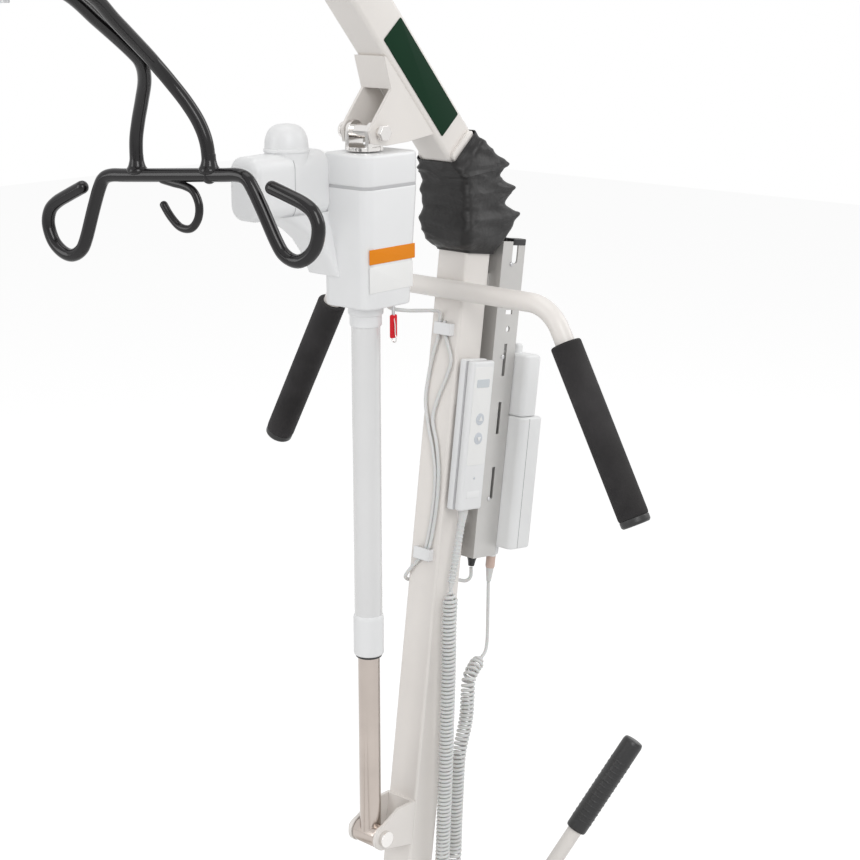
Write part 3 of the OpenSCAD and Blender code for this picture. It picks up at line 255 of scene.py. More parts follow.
def finish(name, colour, rough, metal=0.0, grain=900.0, height=0.05, edge=0.0008, wear=0.0, under=(0.32, 0.31, 0.30), dust=0.0, mottle=0.05, **extra):
    """A material with fine grain, broken colour, worn edges and dust."""
    made = bpy.data.materials.new(name)
    made.use_nodes = True
    tree = made.node_tree
    shader = tree.nodes["Principled BSDF"]
    shader.inputs["Metallic"].default_value = metal
    for key, value in extra.items():
        shader.inputs[key.replace("_", " ")].default_value = value
    surface = useGroup(tree, grainGroup, Scale=grain, Height=height, Edge=edge)
    tree.links.new(surface.outputs["Normal"], shader.inputs["Normal"])
    darker = tuple(c * (1 - mottle) for c in colour)
    tint = mixColour(tree, ramp(tree, surface.outputs["Mottle"], 0.35, 0.65), colour, darker)
    roughness = ramp(tree, surface.outputs["Mottle"], 0.2, 0.8)
    spread = tree.nodes.new("ShaderNodeMapRange")
    tree.links.new(roughness, spread.inputs["Value"])
    spread.inputs["To Min"].default_value = rough * 0.88
    spread.inputs["To Max"].default_value = min(1.0, rough * 1.12)
    tree.links.new(spread.outputs["Result"], shader.inputs["Roughness"])
    if wear:
        mask = useGroup(tree, wearGroup, Amount=wear).outputs["Mask"]
        tint = mixColour(tree, mask, tint, under)
    if dust:
        tint = mixColour(tree, useGroup(tree, dustGroup, Amount=dust).outputs["Mask"], tint, (0.55, 0.52, 0.48))
    tree.links.new(tint, shader.inputs["Base Color"])
    return made


def brushed(name, colour, rough, strength=0.12, scale=(3, 3, 900)):
    """Metal turned or drawn along its length."""
    made = finish(name, colour, rough, 1.0, height=0.02, mottle=0.08)
    tree = made.node_tree
    shader = tree.nodes["Principled BSDF"]
    place = tree.nodes.new("ShaderNodeTexCoord")
    stretch = node(tree, "ShaderNodeMapping", Scale=scale)
    tree.links.new(place.outputs["Object"], stretch.inputs["Vector"])
    lines = node(tree, "ShaderNodeTexNoise", Scale=1.0, Detail=4.0)
    tree.links.new(stretch.outputs["Vector"], lines.inputs["Vector"])
    bump = node(tree, "ShaderNodeBump", Strength=strength, Distance=0.0003)
    tree.links.new(lines.outputs["Fac"], bump.inputs["Height"])
    tree.links.new(bump.outputs["Normal"], shader.inputs["Normal"])
    return made


paint = finish("framePaint", (0.80, 0.765, 0.73), 0.36, height=0.10, grain=700, wear=0.35, under=(0.45, 0.43, 0.41), dust=0.12, mottle=0.03, Coat_Weight=0.25, Coat_Roughness=0.2)
coverWhite = finish("coverPlastic", (0.82, 0.825, 0.83), 0.34, height=0.06, grain=1500, mottle=0.02, dust=0.05)
boxWhite = finish("boxPlastic", (0.86, 0.865, 0.865), 0.42, height=0.12, grain=1600, mottle=0.03, dust=0.05)
tubeWhite = finish("tubeGloss", (0.74, 0.74, 0.74), 0.16, height=0.01, mottle=0.02, Coat_Weight=0.6, Coat_Roughness=0.05)
cradleBlack = finish("cradlePaint", (0.009, 0.008, 0.009), 0.14, height=0.03, grain=300, mottle=0.2, Specular_IOR_Level=0.32, Coat_Weight=0.12, Coat_Roughness=0.06)
foamBlack = finish("foam", (0.022, 0.020, 0.021), 0.88, height=0.9, grain=1300, mottle=0.35, dust=0.05)
blackPlastic = finish("blackPlastic", (0.018, 0.018, 0.019), 0.38, height=0.15, grain=1400, mottle=0.15, dust=0.04)
rubberTyre = finish("tyreGrey", (0.075, 0.075, 0.078), 0.62, height=0.35, grain=900, mottle=0.2, dust=0.35)
rimGrey = finish("rimPlastic", (0.30, 0.30, 0.31), 0.45, height=0.12, grain=1200, mottle=0.08, dust=0.2)
bracketSteel = finish("bracketSteel", (0.60, 0.59, 0.575), 0.40, 0.6, height=0.05, grain=260, mottle=0.08, wear=0.1, dust=0.05)
zinc = finish("zincSteel", (0.62, 0.62, 0.63), 0.34, 1.0, height=0.06, grain=260, mottle=0.14, wear=0.2, dust=0.08)
chrome = finish("chromeSteel", (0.80, 0.78, 0.76), 0.10, 1.0, height=0.01, mottle=0.04)
rodSteel = brushed("rodSteel", (0.52, 0.46, 0.42), 0.2, 0.05)
panelGreen = finish("panelGreen", (0.003, 0.030, 0.012), 0.34, height=0.03, mottle=0.1, Specular_IOR_Level=0.12)
redPlastic = finish("redPlastic", (0.70, 0.006, 0.018), 0.36, height=0.05, mottle=0.06, Specular_IOR_Level=0.3)
orange = finish("orangePatch", (0.80, 0.25, 0.008), 0.5, height=0.03, mottle=0.03, Specular_IOR_Level=0.2)
plateWhite = finish("plateWhite", (0.86, 0.86, 0.85), 0.5, height=0.02, mottle=0.01)
cordGrey = finish("cordGrey", (0.70, 0.70, 0.69), 0.42, height=0.08, mottle=0.04, Subsurface_Weight=0.05)
buttonGrey = finish("buttonPlastic", (0.60, 0.63, 0.67), 0.45, height=0.1, mottle=0.04)
darkLine = finish("seamShadow", (0.30, 0.30, 0.305), 0.8, height=0.05)
softLine = finish("softSeam", (0.52, 0.52, 0.53), 0.7, height=0.05)
screenGrey = finish("displayGlass", (0.58, 0.62, 0.65), 0.08, height=0.0, mottle=0.02, Coat_Weight=1.0, Coat_Roughness=0.03)
beigePlastic = finish("plugBeige", (0.66, 0.50, 0.43), 0.42, height=0.06)
goldSteel = finish("goldZinc", (0.62, 0.50, 0.33), 0.3, 1.0, height=0.06, mottle=0.15, wear=0.1)

bootFabric = finish("bootFabric", (0.012, 0.011, 0.011), 0.34, mottle=0.25, dust=0.02, Specular_IOR_Level=0.38)
weave = useGroup(bootFabric.node_tree, weaveGroup, Scale=620.0, Crumple=0.42)
bootFabric.node_tree.links.new(weave.outputs["Normal"], bootFabric.node_tree.nodes["Principled BSDF"].inputs["Normal"])
print("materials made")


# ---- Mesh helpers ----


def fromMesh(name, vertices, faces, place, material, body, stands=(), slotName=None, smooth=40):
    mesh = bpy.data.meshes.new(name)
    mesh.from_pydata([tuple(place @ Vector(v)) for v in vertices], [], faces)
    shape = bmesh.new()
    shape.from_mesh(mesh)
    bmesh.ops.remove_doubles(shape, verts=shape.verts, dist=1e-7)
    bmesh.ops.recalc_face_normals(shape, faces=shape.faces)
    shape.to_mesh(mesh)
    shape.free()
    mesh.shade_smooth()
    mesh.set_sharp_from_angle(angle=math.radians(smooth))
    return addPiece(name, mesh, material, body, stands)


def addPiece(name, mesh, material, body, stands=()):
    piece = bpy.data.objects.new(name, mesh)
    scene.collection.objects.link(piece)
    for m in material if isinstance(material, list) else [material]:
        mesh.materials.append(m)
    if body:
        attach(piece, body)
    if stands:
        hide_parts(*stands)
    return piece


def loft(rings, closed=False):
    """Vertices and faces through rings of equal length; closed joins the last ring to the first."""
    n = len(rings[0])
    vertices = [v for ring in rings for v in ring]
    faces = []
    last = len(rings) if closed else len(rings) - 1
    for i in range(last):
        a, b = i * n, ((i + 1) % len(rings)) * n
        faces += [(a + k, a + (k + 1) % n, b + (k + 1) % n, b + k) for k in range(n)]
    if not closed:
        faces += [tuple(reversed(range(n))), tuple(range((len(rings) - 1) * n, len(rings) * n))]
    return vertices, faces


def roundRect(w, h, r, steps=6):
    """Rounded rectangle as (a, b) points, anticlockwise."""
    points = []
    for cx, cy, start in ((w / 2 - r, h / 2 - r, 0), (-w / 2 + r, h / 2 - r, 90), (-w / 2 + r, -h / 2 + r, 180), (w / 2 - r, -h / 2 + r, 270)):
        for i in range(steps + 1):
            a = math.radians(start + 90 * i / steps)
            points.append((cx + r * math.cos(a), cy + r * math.sin(a)))
    return points


def prism(w, h, low, high, corner, edge=2.0, steps=6, offset=(0, 0), lift=lambda t: (0, 0), taper=lambda t: (1, 1)):
    """Rounded block along local Z with rounded end edges."""
    heights = [(low + edge * (1 - math.sin(a)), edge * (1 - math.cos(a))) for a in np.linspace(math.pi / 2, 0, 5)]
    heights += [(high - z + low, inset) for z, inset in reversed(heights)]
    rings = []
    for z, inset in heights:
        t = (z - low) / (high - low)
        sx, sy = taper(t)
        ox, oy = lift(t)
        rings.append([(offset[0] + ox + x, offset[1] + oy + y, z) for x, y in roundRect(w * sx - 2 * inset, h * sy - 2 * inset, max(corner - inset, 0.3), steps)])
    return loft(rings)


def join(parts):
    vertices, faces = [], []
    for v, f in parts:
        base = len(vertices)
        vertices += list(v)
        faces += [tuple(i + base for i in face) for face in f]
    return vertices, faces


def moved(shape, matrix):
    return [tuple(matrix @ Vector(v)) for v in shape[0]], shape[1]


def lathe(profile, segments=64, axis="Z"):
    """Solid of revolution from (radius, height) points; a radius of 0 closes it."""
    turn = {"Z": Matrix.Identity(4), "Y": Matrix.Rotation(-math.pi / 2, 4, "X"), "X": Matrix.Rotation(math.pi / 2, 4, "Y")}[axis]
    rings = [[turn @ Vector((max(r, 0.001) * math.cos(2 * math.pi * k / segments), max(r, 0.001) * math.sin(2 * math.pi * k / segments), z)) for k in range(segments)] for r, z in profile]
    return loft([[tuple(p) for p in ring] for ring in rings])


def softened(profile, r, steps=4):
    """Lathe profile with each inner corner rounded by up to r."""
    out = [profile[0]]
    for before, here, after in zip(profile, profile[1:], profile[2:]):
        a, b, c = Vector(before), Vector(here), Vector(after)
        cut = min(r, (a - b).length * 0.45, (c - b).length * 0.45)
        if cut < 0.05:
            out.append(here)
            continue
        p, q = b + (a - b).normalized() * cut, b + (c - b).normalized() * cut
        out += [tuple(p * (1 - t) ** 2 + b * 2 * t * (1 - t) + q * t * t) for t in np.linspace(0, 1, steps)]
    return out + [profile[-1]]


def spline(points, steps):
    p = [np.array(v, float) for v in points]
    out = []
    for i in range(len(p) - 1):
        a, b, c, d = p[max(i - 1, 0)], p[i], p[i + 1], p[min(i + 2, len(p) - 1)]
        for t in np.arange(steps) / steps:
            out.append(0.5 * (2 * b + (c - a) * t + (2 * a - 5 * b + 4 * c - d) * t**2 + (3 * b - a - 3 * c + d) * t**3))
    return np.array(out + [p[-1]])


def along(points):
    """Tangents, two side vectors and lengths of a path, without twist."""
    p = np.array(points, float)
    t = np.gradient(p, axis=0)
    t /= np.linalg.norm(t, axis=1)[:, None]
    u = np.cross(t[0], (0.31, 0.17, 0.93) if abs(t[0][2]) < 0.9 else (0.9, 0.3, 0.1))
    u /= np.linalg.norm(u)
    us = [u]
    for i in range(1, len(p)):
        u = us[-1] - t[i] * (us[-1] @ t[i])
        us.append(u / np.linalg.norm(u))
    us = np.array(us)
    length = np.concatenate([[0], np.cumsum(np.linalg.norm(np.diff(p, axis=0), axis=1))])
    return p, t, us, np.cross(t, us), length


def pipe(points, radius, sides=20, ball=True):
    """Round bar along points; radius may be a function of the length along it. ball rounds both ends."""
    p, t, u, v, length = along(points)
    size = radius if callable(radius) else (lambda s: radius)
    rings = []
    angles = np.linspace(0, 2 * math.pi, sides, endpoint=False)

    def ring(i, r, push):
        centre = p[i] + t[i] * push
        return [tuple(centre + r * (math.cos(a) * u[i] + math.sin(a) * v[i])) for a in angles]

    caps = (0.02, 0.35, 0.7, 0.9) if ball else ()
    for share in caps:
        rings.append(ring(0, size(0) * share, -size(0) * (math.sqrt(1 - share**2)) * 0.9))
    rings += [ring(i, size(length[i]), 0) for i in range(len(p))]
    for share in reversed(caps):
        rings.append(ring(len(p) - 1, size(length[-1]) * share, size(length[-1]) * math.sqrt(1 - share**2) * 0.9))
    return loft(rings)


def plate(outline, y0, y1, edge=0.6):
    """Plate from an outline in local XZ, between two heights in Y, with small rounded edges."""
    centre = np.mean(np.array(outline, float), axis=0)
    rings = []
    for y, inset in ((y0, edge), (y0 + edge * 0.35, edge * 0.3), (y0 + edge, 0), (y1 - edge, 0), (y1 - edge * 0.35, edge * 0.3), (y1, edge)):
        ring = []
        for x, z in outline:
            d = Vector((x - centre[0], z - centre[1]))
            k = 1 - inset / max(d.length, inset + 0.1)
            ring.append((centre[0] + d.x * k, y, centre[1] + d.y * k))
        rings.append(ring)
    return loft(rings)


def mats(names, material):
    for n in names:
        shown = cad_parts[n]
        shown.data.materials.clear()
        shown.data.materials.append(material)
        shown.data.shade_smooth()
        shown.data.set_sharp_from_angle(angle=math.radians(32))


slots = {
    "framePaint": (["base_frame", "mast_socket", "mast", "lower_bracket", "left_leg", "right_leg"], paint, "frame_paint"),
    "zinc": (["frame_bolts", "left_tie_rod", "right_tie_rod"], zinc, "zinc_steel"),
    "bracket": (["control_bracket"], bracketSteel, "zinc_steel"),
    "bright": (["lower_pin", "boom_pivot_pin"], chrome, "bright_steel"),
    "cover": (["cable_clips"], coverWhite, "cover_plastic"),
}
for names, material, slotName in slots.values():
    mats(names, material)


# ---- Geometry Nodes: a small item at each of a set of points ----


def repeatAt(name, places, item, material, body):
    """places are 4x4 matrices in the row frame; item is (vertices, faces) in metres."""
    mesh = bpy.data.meshes.new(name + "Points")
    mesh.from_pydata([m.translation for m in places], [], [])
    turns = mesh.attributes.new("turn", "QUATERNION", "POINT")
    for i, m in enumerate(places):
        turns.data[i].value = m.to_quaternion()
    holder = bpy.data.objects.new(name + "Holder", mesh)
    scene.collection.objects.link(holder)
    itemMesh = bpy.data.meshes.new(name + "Item")
    itemMesh.from_pydata([tuple(v) for v in item[0]], [], item[1])
    itemMesh.shade_smooth()
    itemMesh.set_sharp_from_angle(angle=math.radians(35))
    itemObject = bpy.data.objects.new(name + "Item", itemMesh)
    scene.collection.objects.link(itemObject)
    group = bpy.data.node_groups.new(name + "Nodes", "GeometryNodeTree")
    group.interface.new_socket("Points", in_out="INPUT", socket_type="NodeSocketGeometry")
    item = group.interface.new_socket("Item", in_out="INPUT", socket_type="NodeSocketObject")
    finishSocket = group.interface.new_socket("Finish", in_out="INPUT", socket_type="NodeSocketMaterial")
    group.interface.new_socket("Mesh", in_out="OUTPUT", socket_type="NodeSocketGeometry")
    start, end = group.nodes.new("NodeGroupInput"), group.nodes.new("NodeGroupOutput")
    source = group.nodes.new("GeometryNodeObjectInfo")
    turn = group.nodes.new("GeometryNodeInputNamedAttribute")
    turn.data_type = "QUATERNION"
    turn.inputs["Name"].default_value = "turn"
    copies = group.nodes.new("GeometryNodeInstanceOnPoints")
    real = group.nodes.new("GeometryNodeRealizeInstances")
    paintNode = group.nodes.new("GeometryNodeSetMaterial")
    link = group.links.new
    link(start.outputs["Points"], copies.inputs["Points"])
    link(start.outputs["Item"], source.inputs["Object"])
    link(source.outputs["Geometry"], copies.inputs["Instance"])
    link(turn.outputs["Attribute"], copies.inputs["Rotation"])
    link(copies.outputs["Instances"], real.inputs["Geometry"])
    link(real.outputs["Geometry"], paintNode.inputs["Geometry"])
    link(start.outputs["Finish"], paintNode.inputs["Material"])
    link(paintNode.outputs["Geometry"], end.inputs["Mesh"])
    modifier = holder.modifiers.new("repeat", "NODES")
    modifier.node_group = group
    modifier[item.identifier] = itemObject
    modifier[finishSocket.identifier] = material
    bpy.context.view_layer.update()
    made = bpy.data.meshes.new_from_object(holder.evaluated_get(bpy.context.evaluated_depsgraph_get()))
    made.name = name
    bpy.data.objects.remove(holder)
    bpy.data.objects.remove(itemObject)
    piece = bpy.data.objects.new(name, made)
    scene.collection.objects.link(piece)
    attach(piece, body)
    return piece


def rigid(matrix):
    """A local frame in mm as a rotation and place in metres, without its scale."""
    where, turn, _ = matrix.decompose()
    return Matrix.Translation(where) @ turn.to_matrix().to_4x4()


def metres(shape):
    return [tuple(c * 0.001 for c in v) for v in shape[0]], shape[1]


# ---- Cords ----

coilRoute = [(-114, 44, 748), (-111, 44, 700), (-110, 44, 640), (-107, 44, 560), (-104, 44, 480), (-101, 44, 420), (-99, 44, 375), (-99, 43, 345),
    (-106, 41, 322), (-120, 36, 312), (-134, 31, 320), (-142, 28, 342), (-144, 27, 372), (-147, 27, 430), (-151, 27, 485), (-161, 26, 515),
    (-168, 26, 540), (-173, 24, 570), (-179, 21, 592), (-194, 18, 605), (-214, 15, 614)]
tailRoute = [(-215, 15, 614.5), (-222, 14.5, 620), (-226, 14, 632), (-227, 14, 650), (-227.5, 14, 685), (-228, 14, 722)]
slackRoute = [(-45, -6, 1149.5), (-46, -7, 1141), (-58, -7, 1134), (-84, -8, 1128), (-110, -8, 1124), (-132, -7, 1121), (-145, -7, 1118), (-149.3, -7, 1112), (-149, -7, 1106.4)]
leftRoute = [(-149, -7, 1106), (-147.8, -7, 1097), (-145.4, -8, 1082), (-142, -14, 1058), (-139, -19, 1028), (-134.5, -20, 996), (-130, -11, 964), (-126, 0, 936),
    (-121.5, 9, 901), (-115, 10, 853), (-108.4, 5, 805), (-106, -3, 787), (-103.4, -15, 772), (-101, -24, 760)]
rightRoute = [(-149, 1, 1106), (-147.8, 1, 1097), (-145.4, 8, 1080), (-142.4, 18, 1058), (-139.6, 14, 1036), (-135, 1, 1002), (-131, -4, 973), (-127, 7, 940),
    (-121.5, 15, 901), (-115, 16, 853), (-108.4, 11, 805), (-105.6, 3, 787)]
wrapRoute = [(-103, -29, 752), (-112, -31, 746), (-130, -31, 742), (-155, -31, 737), (-180, -30, 731), (-205, -27, 722), (-221, -22, 717), (-229, -20, 722), (-230, -20, 735)]


def curvePiece(name, points, diameter, material, body):
    """A curve with a round section through points in millimetres of the lift frame."""
    line = bpy.data.curves.new(name, "CURVE")
    line.dimensions = "3D"
    line.bevel_depth = diameter / 2
    line.bevel_resolution = 4
    line.use_fill_caps = True
    part = line.splines.new("POLY")
    part.points.add(len(points) - 1)
    world = [liftFrame @ Vector(p) for p in points]
    for i, p in enumerate(world):
        part.points[i].co = (*p, 1)
    part.use_smooth = True
    line.materials.append(material)
    piece = bpy.data.objects.new(name, line)
    scene.collection.objects.link(piece)
    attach(piece, body)
    length = sum((b - a).length for a, b in zip(world, world[1:]))
    return piece, world[0], length


# Handset cord: a coil that hangs in a loop, then a straight tail up to the plug
coil = {"wire": 4.6, "radius": 8.0, "pitch": 5.5, "perTurn": 16}
middle = spline(coilRoute, 24)
p, t, u, v, length = along(middle)
bend = np.linalg.norm(np.gradient(t, axis=0), axis=1) / np.maximum(np.gradient(length), 1e-6)
bend = np.convolve(np.pad(bend, 12, mode="edge"), np.ones(25) / 25, mode="valid")
pitch = coil["pitch"] / np.clip(1 - (coil["radius"] + 0.5) * bend, 0.3, 1) * 1.02
phase = np.concatenate([[0], np.cumsum(np.diff(length) / ((pitch[1:] + pitch[:-1]) / 2))])
turns = phase[-1]
samples = np.linspace(0, turns, int(turns * coil["perTurn"]))
at = np.interp(samples, phase, length)
centre = np.stack([np.interp(at, length, p[:, k]) for k in range(3)], 1)
sideU = np.stack([np.interp(at, length, u[:, k]) for k in range(3)], 1)
sideV = np.stack([np.interp(at, length, v[:, k]) for k in range(3)], 1)
ends = np.clip(np.minimum(at / 14, (length[-1] - at) / 14), 0, 1)
grow = (ends * ends * (3 - 2 * ends) * coil["radius"])[:, None]
angle = 2 * math.pi * samples[:, None]
helix = centre + grow * (np.cos(angle) * sideU + np.sin(angle) * sideV)
relief = liftFrame.inverted() @ handsetFrame @ Matrix.Translation((0, 13, 2)) @ Matrix.Rotation(math.pi - math.radians(5.8), 4, "Y")
entry = np.array([tuple(relief @ Vector((0, 0, z))) for z in (0, 25, 50, 75, 98)])
cordPoints = list(entry) + list(helix) + list(spline(tailRoute, 8)[1:])
handsetCord, cordExit, cordLength = curvePiece("handset_cord", cordPoints, coil["wire"] / 1000, cordGrey, "base")
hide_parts("coiled_cord", "cord_tail")
print("handset cord", round(cordLength, 3), "m,", round(turns), "turns")

# Actuator cable down the mast, its doubled-back strand, and the free stretch to the housing
mainPoints = list(spline(leftRoute + wrapRoute, 10))
mainCable, mainExit, mainLength = curvePiece("actuator_cable_main", mainPoints, 0.005, cordGrey, "base")
backCable, backExit, backLength = curvePiece("actuator_cable_return", list(spline(rightRoute, 10)), 0.005, cordGrey, "base")
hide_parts("actuator_cable")
slackLine = spline(slackRoute, 12)
slack = fromMesh("cable_slack_skin", *pipe(slackLine, 2.5, 16, False), liftFrame, cordGrey, None, ["cable_slack"], "cord_grey")
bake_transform(slack)

# ---- Boot over the boom pivot ----

# Rings from the mast's collar to the boom's: front and rear points in the middle plane, half width, corner radius
bootRings = [
    ((-163.5, 1197), (-219, 1189), 28.5, 6),
    ((-160, 1201), (-221, 1194), 30, 7),
    ((-153, 1205), (-227, 1202), 35, 11),
    ((-148, 1212), (-236, 1213), 40, 14),
    ((-145, 1222), (-245, 1226), 43, 13),
    ((-144, 1232), (-251, 1237), 44.5, 10),
    ((-144, 1240), (-255, 1244), 45, 7),
    ((-145, 1245), (-247, 1248), 43.5, 10),
    ((-147, 1252), (-234, 1257), 42, 12),
    ((-146, 1260), (-233, 1264), 42.5, 11),
    ((-145, 1270), (-240, 1272), 43.5, 9),
    ((-144, 1275), (-244, 1277.5), 44.5, 7),
    ((-144, 1280), (-236, 1282), 43, 10),
    ((-145, 1286), (-222, 1291), 41.5, 12),
    ((-143, 1291), (-220, 1298), 42, 11),
    ((-142, 1296), (-226, 1305), 43, 9),
    ((-141, 1298), (-231, 1309.5), 44, 7),
    ((-140, 1299.5), (-216, 1321), 42.5, 8),
    ((-139, 1301), (-200, 1333), 41, 8),
    ((-138, 1303), (-186, 1343.5), 39.5, 6),
    ((-136, 1308), (-182, 1348), 35.5, 7),
    ((-133.6, 1312.5), (-179, 1352), 33.5, 6),
    ((-130, 1317.5), (-174.5, 1356), 34, 6),
]
densePoints = spline([(f[0], f[1], r[0], r[1], w, c) for f, r, w, c in bootRings], 7)
bootAround = 144


def evenRing(points, count):
    loop = np.array(points + [points[0]])
    at = np.concatenate([[0], np.cumsum(np.linalg.norm(np.diff(loop, axis=0), axis=1))])
    where = np.linspace(0, at[-1], count, endpoint=False)
    return np.stack([np.interp(where, at, loop[:, k]) for k in range(2)], 1)


rings = []
for k, (fx, fz, rx, rz, w, corner) in enumerate(densePoints):
    mid = Vector(((fx + rx) / 2, 0, (fz + rz) / 2))
    run = Vector((fx - rx, 0, fz - rz))
    half = run.length / 2
    run.normalize()
    tilt = Vector((-run.z, 0, run.x))
    loose = min(1.0, k / 14, (len(densePoints) - 1 - k) / 16)
    ring = []
    for a, b in evenRing(roundRect(2 * half, 2 * w, corner, 10), bootAround):
        # Loose cloth between the pleats: broad sag, then creases with sharp crests
        point = mid + run * a + Vector((0, b, 0))
        broad = noise.noise(point * 0.022)
        crest = 1 - abs(noise.noise(Vector((point.x * 0.018, point.y * 0.018, point.z * 0.075 + 7)))) * 2.6
        small = noise.noise(point * 0.11)
        centre = min(1, abs(b) / w) * math.pi / 2
        droop = -3.2 * max(0.0, -a / half) * math.cos(centre) - 1.6 * max(0.0, abs(b) / w - 0.8) * 5 * (1 - min(1, abs(a) / half))
        out = (run * a + Vector((0, b, 0))).normalized()
        ring.append(tuple(point + loose * (tilt * (broad * 3.0 + droop + small * 0.9) + out * (crest * 1.5 + broad * 1.2 - 0.6))))
    rings.append(ring)
inner = [[tuple(Vector(q) + (Vector((sum(c[0] for c in ring) / len(ring), 0, sum(c[2] for c in ring) / len(ring))) - Vector(q)).normalized() * 1.6) for q in ring] for ring in rings]
bootShape = loft(rings + inner[::-1], closed=True)
boot = fromMesh("boot_fabric", *bootShape, liftFrame, bootFabric, None, ["boot"], "boot_fabric", smooth=75)
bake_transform(boot)
print("boot made")

# ---- Boom ----


def boomPath(over=0.0):
    radius, tangentLength = 120.0, 120.0 * math.tan(boomBend / 2)
    centreX, centreZ = 448 - tangentLength, 15 - radius
    line = [(52 - over, 15.0, 0.0)]
    for a in np.linspace(0, boomBend, 33):
        line.append((centreX + radius * math.sin(a), centreZ + radius * math.cos(a), a))
    far = lift["boomOuter"] + 25 + over
    line.append((448 + far * math.cos(boomBend), 15 - far * math.sin(boomBend), boomBend))
    return line


def boomRings(w, h, corner, over=0.0):
    rings = []
    for x, z, a in boomPath(over):
        rings.append([(x + q * math.sin(a), s, z + q * math.cos(a)) for s, q in roundRect(w, h, corner, 5)])
    return rings


boomOuter, boomInner = boomRings(51, 55, 6), boomRings(45, 49, 3)
shapes = [loft(boomOuter + boomInner[::-1], closed=True)]
cheek = [(math.cos(a) * 20, math.sin(a) * 20) for a in np.linspace(math.radians(115), math.radians(245), 18)]
cheek += [(4, -20), (92, -9), (96, -5), (96, 35), (92, 39), (4, 20)]
for side in (-1, 1):
    shapes.append(plate(cheek, side * 25.5 if side > 0 else -30.5, side * 30.5 if side > 0 else -25.5))
fromMesh("boom_tube", *join(shapes), boomFrame, paint, "boom", ["boom"], "frame_paint", smooth=30)
capPlace = boomFrame @ Matrix.Translation((448, 0, 15)) @ Matrix.Rotation(boomBend, 4, "Y") @ Matrix.Translation((lift["boomOuter"] + 25, 0, 0)) @ Matrix.Rotation(math.pi / 2, 4, "Y")
fromMesh("boom_cap", *join([prism(55, 51, 0, 3.2, 6, 1.4), prism(30, 26, 2.6, 4.0, 5, 0.6)]), capPlace, blackPlastic, "boom", ["boom_end_cap"], "black_plastic")

# Plain green panels, both sides
panels = []
for side in (-1, 1):
    place = Matrix.Translation((0, side * 26.0, 15)) @ Matrix.Rotation(math.pi / 2, 4, "X")
    panels.append(moved(prism(163, 40, -0.5, 0.5, 2, 0.2, offset=(124 + 81.5, 1.5)), place))
fromMesh("boom_labels", *join(panels), boomFrame, panelGreen, "boom", ["boom_panels"], "panel_green")

print("boom made")

# ---- Actuator ----

tubeRings = softened([(0, 705), (18.5, 705), (18.5, 1156), (0, 1156)], 1.0)
fromMesh("actuator_tube_skin", *lathe(tubeRings, 96), liftFrame, tubeWhite, "actuator", ["actuator_tube"], "cover_plastic")
lowCap = softened([(15.0, 684), (15.4, 680), (19.2, 680), (20.1, 682), (20.1, 731), (19.3, 735), (18.5, 735.5), (18.4, 740)], 0.8)
ringTop = softened([(18.4, 1122), (19.6, 1122), (20.4, 1124), (20.4, 1136), (22.5, 1138), (22.5, 1149), (18.4, 1150)], 0.8)
fromMesh("tube_collar_skin", *join([lathe(lowCap, 96), lathe(ringTop, 96)]), liftFrame, coverWhite, "actuator", ["tube_collars"], "cover_plastic")
wiper = lathe(softened([(14.7, 676.5), (17.4, 676.5), (18.0, 680), (14.7, 681)], 0.8), 72)
fromMesh("rod_wiper", *wiper, liftFrame, blackPlastic, "actuator", (), "black_plastic")

rodProfile = softened([(0, 418), (14.5, 424), (14.5, 798), (13.0, 800), (0, 800)], 1.0)
eye = moved(lathe(softened([(6.1, -20), (14.6, -20), (16, -18.6), (16, 18.6), (14.6, 20), (6.1, 20)], 0.5), 64, "Y"), Matrix.Translation((0, 0, 418)))
fromMesh("piston_rod_skin", *join([lathe(rodProfile, 96), eye]), liftFrame, rodSteel, "base", ["piston_rod"], "bright_steel")

# Housing: lower body, cover, pod with its gusset, dome
def bodyTaper(t):
    low = max(0.0, 1 - t / 0.42)
    return (1 - 0.13 * low * low * (3 - 2 * low), 1)


housingParts = [
    prism(98, 80, 1150, 1299.2, 15, 3, 8, offset=(-11, 0), taper=bodyTaper, lift=lambda t: (98 * (1 - bodyTaper(t)[0]) / 2, 0)),
]
fromMesh("housing_body", *housingParts[0], liftFrame, coverWhite, "actuator", ["gear_housing"], "cover_plastic", smooth=50)
coverShape = prism(98, 80, 1300.2, 1340, 15, 4, 8, offset=(-11, 0))
fromMesh("housing_lid", *coverShape, liftFrame, coverWhite, "actuator", ["housing_cover"], "cover_plastic", smooth=50)
seamShape = prism(97.2, 79.2, 1298, 1302, 14.8, 0.2, 8, offset=(-11, 0))
fromMesh("housing_seam", *seamShape, liftFrame, softLine, "actuator", (), "cover_plastic")
podPlace = Matrix.Translation((0, -50, 1303)) @ Matrix.Rotation(math.pi / 2, 4, "Y")
podBody = moved(prism(82, 55, 34, 157, 18, 9, 8, taper=lambda t: (1 - 0.10 * max(0, t - 0.35), 1 - 0.08 * max(0, t - 0.35))), podPlace)
gussetRings = []
for z, far in ((1268, 118), (1258, 98), (1246, 78), (1232, 62), (1216, 52), (1200, 45), (1188, 40)):
    gussetRings.append([(30 + (far - 30) * (0.5 + 0.5 * x), -50 + 27 * y + (1258 - min(z, 1258)) * 0.22, z) for x, y in ((a / 50, b / 50) for a, b in roundRect(100, 100, 22, 6))])
dome = moved(lathe(softened([(0, 1302), (27, 1302), (27, 1352), (25.5, 1362), (21, 1371), (13, 1376), (0, 1377.5)], 5, 6), 72), Matrix.Translation((84, -50, 0)))
domeRing = moved(lathe(softened([(26, 1343.5), (28.2, 1343.5), (28.2, 1347), (27, 1348)], 0.6), 72), Matrix.Translation((84, -50, 0)))
fromMesh("motor_pod", *join([podBody, loft(gussetRings), dome, domeRing]), liftFrame, coverWhite, "actuator", ["motor_cover"], "cover_plastic", smooth=50)
